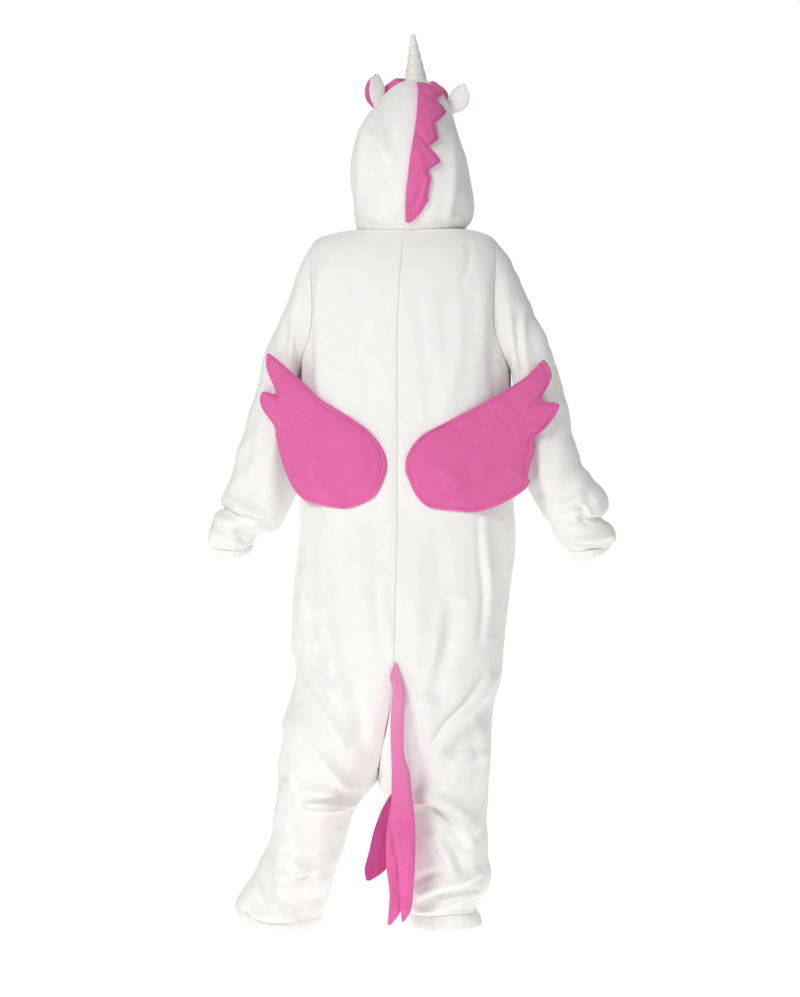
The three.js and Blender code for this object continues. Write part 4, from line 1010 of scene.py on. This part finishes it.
high = np.concatenate([np.zeros(4), np.linspace(0, 1, HORN_RINGS), np.ones(4)])
inset = np.concatenate([[0.001, 0.4, 0.8, 0.96], np.ones(HORN_RINGS), [0.85, 0.6, 0.3, 0.001]])
turn = np.linspace(0, 2 * np.pi, 72, endpoint=False)
wave = (HORN_WRAPS * high[:, None] + turn[None] / (2 * np.pi)) % 1
groove = np.exp(-((np.minimum(wave, 1 - wave) / HORN_GROOVE_WIDTH) ** 2))
wrinkle = 0.25 * np.sin(9 * turn[None] + 30 * high[:, None]) * (1 - 0.7 * high[:, None])
radius = HORN_RADIUS * (1 - HORN_TAPER * high[:, None]) + HORN_BLUNT
radius = radius - HORN_GROOVE * groove * (0.35 + 0.65 * (1 - high[:, None])) + wrinkle
radius = radius * inset[:, None]
centre = HORN_BASE + 0.985 * high[:, None] * (HORN_TIP - HORN_BASE)
circle = np.stack([np.cos(turn), np.sin(turn), 0 * turn], -1)
horn = closed_tube("horn_stuffed", (centre[:, None] + radius[..., None] * circle) * MM)
horn.data.materials.append(satin("off-white polyester satin", "#F1F0EC"))
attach(horn, "root")
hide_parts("horn")

# ---------------------------------------------------------------------------------------------
# Wings: two flat pads of pink fleece with light filling, edge-stitched all round, each with a
# round inner end and two feathers. They are sewn on the back and reach over the sleeves.
# ---------------------------------------------------------------------------------------------
WING_BEND = 108
WING_FALL = 0.34
WING_GAP = 1.6
WINGS = {
    "wing_left": {
        "middle": (160, -385),
        "outline": [
            (257, -232), (263, -246), (260, -267), (243, -308), (268, -305), (276, -318), (271, -339),
            (247, -372), (242, -400), (228, -449), (210, -488), (186, -514), (155, -523), (109, -531),
            (76, -525), (48, -511), (32, -490), (20, -454), (26, -422), (52, -386), (92, -357),
            (150, -322), (184, -291), (224, -257),
        ],
    },
    "wing_right": {
        "middle": (-160, -395),
        "outline": [
            (-274, -248), (-288, -273), (-284, -293), (-269, -324), (-296, -329), (-302, -339), (-282, -372),
            (-256, -398), (-257, -415), (-244, -466), (-247, -480), (-236, -497), (-198, -521), (-150, -537),
            (-105, -535), (-60, -528), (-36, -506), (-22, -476), (-16, -456), (-21, -427), (-46, -394),
            (-97, -365), (-150, -337), (-199, -308), (-237, -283), (-258, -263),
        ],
    },
}
WING_FOLDS = {
    "wing_left": [
        (-1.6, 5, 0.4, [(247, -312), (222, -344), (206, -372)]),
        (-1.2, 6, 0.3, [(236, -368), (214, -392), (196, -430)]),
        (2.5, 16, 0.0, [(70, -420), (110, -470), (170, -490)]),
    ],
    "wing_right": [
        (-1.6, 5, 0.4, [(-262, -326), (-232, -352), (-206, -386)]),
        (-1.3, 6, 0.4, [(-196, -316), (-222, -340), (-250, -372)]),
        (-1.3, 6, 0.4, [(-180, -340), (-202, -364), (-224, -398)]),
        (2.5, 16, 0.0, [(-70, -440), (-110, -480), (-170, -500)]),
    ],
}


def back_height(x, z):
    """y of the plain back surface at places in mm: the superellipse of the row at that height."""
    heights = -HALF[LEFT][:, 0]
    height = np.zeros_like(x)
    for side in (LEFT, RIGHT):
        row = through(HALF[side], np.interp(-z, heights[:len(TRUNK)], np.arange(len(TRUNK))))
        out, inner, square = row[..., OUT], row[..., INNER], row[..., SQUARE]
        share = np.clip(np.abs(x - inner) / np.abs(out - inner), 0, 1)
        own = row[..., AT_BACK] * (1 - share**square) ** (1 / square)
        height = np.where(x * side > 0, own, height)
    return height


def wing_height(x, z):
    reach = np.abs(x)
    bend = back_height(np.sign(x) * np.minimum(reach, WING_BEND), z)
    return WING_GAP + bend - WING_FALL * np.maximum(0, reach - WING_BEND)


def closed_curve(points, count):
    """A closed Catmull-Rom curve through the points, read at even shares of their number."""
    points = np.array(points, float)
    wrapped = np.concatenate([points[-2:], points, points[:3]])
    return through(wrapped, 2 + np.arange(count) * len(points) / count)


WING_STEPS = 260
WING_SHARES = np.concatenate([
    # of the way from the middle to the outline, closest together near the rim
    [0.0015], np.linspace(0.04, 0.88, 34), 1 - 0.12 * np.linspace(0.94, 0, 14) ** 1.4,
])
WING_RIM, WING_PUFF, WING_SOFT = 1.4, 12, 26                       # mm
WING_LIP, WING_LIP_WIDTH = 3.4, 6
WING_STITCH_DEPTH, WING_STITCH_INSET, WING_STITCH_WIDTH = 2.6, 8.5, 2.4
for name, wing in WINGS.items():
    outline = closed_curve(wing["outline"], WING_STEPS)
    middle = np.array(wing["middle"], float)
    share = WING_SHARES
    place = middle + share[:, None, None] * (outline - middle)
    x, z = place[..., 0], place[..., 1]
    rim = (1 - share)[:, None] * np.linalg.norm(outline - middle, axis=-1)
    puff = WING_RIM + WING_PUFF * (1 - np.exp(-rim / WING_SOFT))
    puff += WING_LIP * rounded(np.clip(1 - rim / WING_LIP_WIDTH, 0, 1), 2)
    puff -= WING_STITCH_DEPTH * np.exp(-(((rim - WING_STITCH_INSET) / WING_STITCH_WIDTH) ** 2))
    puff += fold_relief(x, z, WING_FOLDS[name]) / MM + soft_waves(71, x, z, 70, 90, 0.7) / MM
    base = wing_height(x, z)
    over = np.stack([x, base + puff, z], -1) * MM
    under = np.stack([x, base, z], -1) * MM
    rings = np.concatenate([over, under[::-1]])
    pad = closed_tube(f"{name}_pad", rings)
    pad.data.materials.append(PINK_FLEECE)
    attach(pad, "root")
    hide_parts(name)

# ---------------------------------------------------------------------------------------------
# Tail: three padded locks of pink fleece, hung from the seat seam: a long one, a middle one
# behind it and a short one behind that, whose darker pink is painted shade where it hangs
# back in shadow. The long one has a painted sheen that pales its colour towards the top.
# A darker pink for the short lock: painted shade, for where it hangs back in shadow behind the others.
SHADE_PAINTED_PINK_FLEECE = fleece("pink brushed fleece, painted shade", "#C9508F", "#BC4483", "#E59AC2", 0.3)
# The long lock's top is paler with a painted sheen: its colour blends towards a pale pink from 1.12 m up to
# 0.9 m below the neck.
PAINTED_SHEEN_TOP = "#EC92BE"
SHEEN_PAINTED_TAIL_FLEECE = fleece("pink brushed fleece, painted sheen on top", "#E86EAB", "#E168A5", "#F7B6D6", 0.35)
tree = SHEEN_PAINTED_TAIL_FLEECE.node_tree
place = add_node(tree, "ShaderNodeTexCoord").outputs["Object"]
height = add_node(tree, "ShaderNodeSeparateXYZ", Vector=place).outputs["Z"]
high = add_node(tree, "ShaderNodeMapRange", Value=height, From_Min=-1.12, From_Max=-0.9)
shader = next(node for node in tree.nodes if node.type == "BSDF_PRINCIPLED")
blend = add_node(
    tree, "ShaderNodeMixRGB", Fac=high.outputs["Result"], Color2=hex_colour(PAINTED_SHEEN_TOP),
    Color1=shader.inputs["Base Color"].links[0].from_socket,
)
tree.links.new(blend.outputs[0], shader.inputs["Base Color"])
LOCKS = {
    # z, left, right, y, thick
    "tail_long": (SHEEN_PAINTED_TAIL_FLEECE, [
        [-822, 2, -1, 156, 3], [-838, 9, -6, 157, 6], [-852, 12, -11, 158, 10],
        [-868, 7, -15, 159, 12], [-885, 7, -18, 160, 14], [-930, 10, -15, 161, 16],
        [-990, 9, -16, 161, 17], [-1030, 8, -26, 160, 19], [-1084, 9, -32, 158, 20],
        [-1133, 8, -36, 156, 20], [-1190, -1, -36, 154, 20], [-1240, -6, -33, 152, 17],
        [-1288, -8, -28, 150, 11], [-1312, -10, -14, 149, 4],
    ]),
    "tail_middle": (PINK_FLEECE, [
        [-1070, 8, -8, 142, 3], [-1110, 16, -22, 139, 13], [-1160, 22, -26, 136, 16],
        [-1215, 21, -24, 134, 16], [-1260, 16, -17, 132, 14], [-1300, 18, -3, 131, 9],
        [-1322, 20, 13, 130, 4],
    ]),
    "tail_short": (SHADE_PAINTED_PINK_FLEECE, [
        [-1074, 14, -2, 127, 3], [-1100, 30, 2, 123, 11], [-1140, 46, 6, 119, 14], [-1187, 58, 12, 116, 14],
        [-1220, 66, 26, 114, 12], [-1241, 63, 54, 113, 5],
    ]),
}
LOCK_STEP = 2.5
for name, (material, rows) in LOCKS.items():
    rows = np.array(rows, float)
    at = rows_between(rows, 0, len(rows) - 1, LOCK_STEP)
    at = np.concatenate([[0, 0], at, [len(rows) - 1] * 2])
    inset = np.ones(len(at))
    inset[[0, -1]] = 0.001
    inset[[1, -2]] = 0.6
    row = through(rows, at)
    turn = np.linspace(0, 2 * np.pi, 56, endpoint=False)[None]
    half = (row[:, 1:2] - row[:, 2:3]) / 2 * inset[:, None]
    x = (row[:, 1:2] + row[:, 2:3]) / 2 + half * np.cos(turn)
    flatter = np.sign(np.sin(turn)) * np.abs(np.sin(turn)) ** 0.8
    y = row[:, 3:4] + 0.5 * row[:, 4:5] * inset[:, None] * flatter
    z = row[:, 0:1] + 0 * turn
    ripple = soft_waves(81, 3 * x, z, 40, 90, 0.9) / MM * inset[:, None]
    tube = np.stack([x, y + ripple, z], -1) * MM
    lock = closed_tube(f"{name}_pad", tube)
    lock.data.materials.append(material)
    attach(lock, "root")
    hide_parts(name)

# ---------------------------------------------------------------------------------------------
# Front closing: a folded strip of white fleece over the centre-front seam, stitched near both
# edges, with five round four-hole resin buttons.
# ---------------------------------------------------------------------------------------------
PLACKET_HALF = 17
PLACKET_WALL = 2.4
PLACKET_ROWS = (0.6, 12)
LAY_GAP = 0.5
STITCH_INSET, STITCH_WIDTH, STITCH_DEPTH = 4.0, 1.2, 0.9


def front_point(x, at):
    """Points of the front at sideways places in mm from its seam, with the rows' heights."""
    row = through(HALF[LEFT], at)[:, None]
    share = np.clip(np.abs(x) / np.abs(row[..., OUT] - row[..., INNER]), 0, 1)
    sine = (1 - share ** row[..., SQUARE]) ** 0.5
    point = body_plain(LEFT, at, -np.arcsin(sine))
    point[..., 0] = (row[..., INNER] + x) * MM
    return point


def front_normal(at):
    return body_normal(LEFT, at, np.full((len(at), 1), -math.pi / 2))


at = np.linspace(*PLACKET_ROWS, 190)
x = np.linspace(-PLACKET_HALF, PLACKET_HALF, 35)[None] + np.zeros((len(at), 1))
normal = front_normal(at)
rim = PLACKET_HALF - np.abs(x)
stitch = STITCH_DEPTH * np.exp(-(((rim - STITCH_INSET) / STITCH_WIDTH) ** 2))
lift = PLACKET_WALL - stitch - 1.2 * np.exp(-rim / 0.9)
base = front_point(x, at) + LAY_GAP * MM * normal
placket = wall_mesh("placket_strip", base + lift[..., None] * MM * normal, base)
placket.data.materials.append(WHITE_FLEECE)
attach(placket, "root")
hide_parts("placket")

BUTTON_ROWS = (1.3, 4.4, 7.0, 9.0, 11.2)
BUTTON_RADIUS = 10
HOLE_RADIUS = 1.1
HOLE_RING = 2.3
HOLE_DEPTH = 1.7
BUTTON_HEIGHT = 2.3
FACE_RINGS = 38
DISH_HEIGHT, DISH_RADIUS, DISH_WIDTH = 0.7, 8.4, 1.1
# Moulded resin: a hard white that is a little see-through, with a small clear highlight.
material, tree = new_material("moulded white resin")
shader = add_node(
    tree, "ShaderNodeBsdfPrincipled", Base_Color=hex_colour("#EDEDE8"), Roughness=0.28, Coat_Weight=0.3,
    Subsurface_Weight=0.1, Subsurface_Scale=2 * MM,
)
add_node(tree, "ShaderNodeOutputMaterial", Surface=shader.outputs["BSDF"])
face_radii = np.linspace(0.3, BUTTON_RADIUS - 0.4, FACE_RINGS)
rim_radii = BUTTON_RADIUS - np.array([0.15, 0.0, 0.05, 0.4])
radius = np.concatenate([[0.01], face_radii, rim_radii, [6, 3, 0.01]])
height = np.concatenate([np.full(1 + FACE_RINGS, BUTTON_HEIGHT), [1.9, 1.2, 0.5, 0.0, 0.0, 0.0, 0.0]])
face_up = np.arange(len(radius)) <= FACE_RINGS
turn = np.linspace(0, 2 * np.pi, 96, endpoint=False)
bx, bz = radius[:, None] * np.cos(turn), radius[:, None] * np.sin(turn)
pits = sum(
    np.exp(-(((bx - HOLE_RING * u) ** 2 + (bz - HOLE_RING * v) ** 2) / HOLE_RADIUS**2) ** 2)
    for u in (-1, 1) for v in (-1, 1)
)
dish = DISH_HEIGHT * np.exp(-(((radius - DISH_RADIUS) / DISH_WIDTH) ** 2))
by = height[:, None] + np.where(face_up, dish, 0)[:, None]
by = by - np.where(face_up, HOLE_DEPTH, 0)[:, None] * pits
for i, row in enumerate(BUTTON_ROWS):
    at = np.array([row])
    normal = front_normal(at)[0, 0]
    across = np.array([1.0, 0.0, 0.0])
    upward = np.cross(normal, across)
    place = front_point(np.zeros((1, 1)), at)[0, 0] + (2 * LAY_GAP + PLACKET_WALL) * MM * normal
    points = place + MM * (bx[..., None] * across + bz[..., None] * upward + by[..., None] * normal)
    button = closed_tube(f"button_{i + 1}_resin", points)
    button.data.materials.append(material)
    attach(button, "root")
    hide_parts(f"button_{i + 1}")

# ---------------------------------------------------------------------------------------------
# The studio: a pale floor, a pale surround and three soft boxes, two of them on the camera's side
# of the costume and one in front of its wearer.
# ---------------------------------------------------------------------------------------------
FLOOR_Z = -1.414
FLOOR_HALF = 2.6
VIEW_ANGLE = math.radians(187)
VIEW_DISTANCE = 5.0
VIEW_HEIGHT = 1.944
VIEW_TARGET = np.array([0.0118, 0.0, -0.512])

floor = quad_mesh("floor", np.array([
    [-FLOOR_HALF, -FLOOR_HALF, FLOOR_Z], [FLOOR_HALF, -FLOOR_HALF, FLOOR_Z],
    [FLOOR_HALF, FLOOR_HALF, FLOOR_Z], [-FLOOR_HALF, FLOOR_HALF, FLOOR_Z],
]), np.array([[0, 1, 2, 3]]))
# A matt floor that glows a little, so that it runs into the surround without an edge.
material, tree = new_material("pale floor")
paint = add_node(tree, "ShaderNodeBsdfDiffuse", Color=hex_colour("#E8E8E8"))
glow = add_node(tree, "ShaderNodeEmission", Color=hex_colour("#FFFFFF"), Strength=0.66)
both = tree.nodes.new("ShaderNodeAddShader")
tree.links.new(paint.outputs[0], both.inputs[0])
tree.links.new(glow.outputs[0], both.inputs[1])
add_node(tree, "ShaderNodeOutputMaterial", Surface=both.outputs[0])
floor.data.materials.append(material)

world = bpy.data.worlds.new("studio")
bpy.context.scene.world = world
world.use_nodes = True
world.node_tree.nodes.clear()
light = add_node(world.node_tree, "ShaderNodeBackground", Color=(1, 1, 1, 1), Strength=0.33)
seen = add_node(world.node_tree, "ShaderNodeBackground", Color=(1, 1, 1, 1), Strength=1.0)
path = add_node(world.node_tree, "ShaderNodeLightPath")
blend = add_node(world.node_tree, "ShaderNodeMixShader", Fac=path.outputs["Is Camera Ray"])
world.node_tree.links.new(light.outputs[0], blend.inputs[1])
world.node_tree.links.new(seen.outputs[0], blend.inputs[2])
add_node(world.node_tree, "ShaderNodeOutputWorld", Surface=blend.outputs[0])

LIGHT_TARGET = np.array([0.0, 0.0, -0.5])
SOFT_BOXES = [
    # name, place, size, power
    ("key", (1.9, 3.9, 1.9), 1.4, 100),
    ("fill", (-3.2, 3.4, 0.2), 2.2, 16),
    ("front", (0.8, -4.6, 1.4), 2.4, 80),
]
for name, place, size, power in SOFT_BOXES:
    data = bpy.data.lights.new(name, "AREA")
    data.size = size
    data.energy = power
    lamp = bpy.data.objects.new(name, data)
    lamp.location = place
    aim = LIGHT_TARGET - np.array(place)
    lamp.rotation_euler = Vector(aim).to_track_quat("-Z", "Y").to_euler()
    bpy.context.scene.collection.objects.link(lamp)

lens = bpy.data.cameras.new("camera")
lens.sensor_width = 36
lens.lens = lens.sensor_width * VIEW_DISTANCE / VIEW_HEIGHT
camera = bpy.data.objects.new("camera", lens)
away = np.array([math.sin(VIEW_ANGLE), -math.cos(VIEW_ANGLE), 0.0])
camera.location = VIEW_TARGET + VIEW_DISTANCE * away
camera.rotation_euler = Vector(-away).to_track_quat("-Z", "Y").to_euler()
bpy.context.scene.collection.objects.link(camera)
bpy.context.scene.camera = camera
bpy.context.scene.view_settings.view_transform = "Standard"
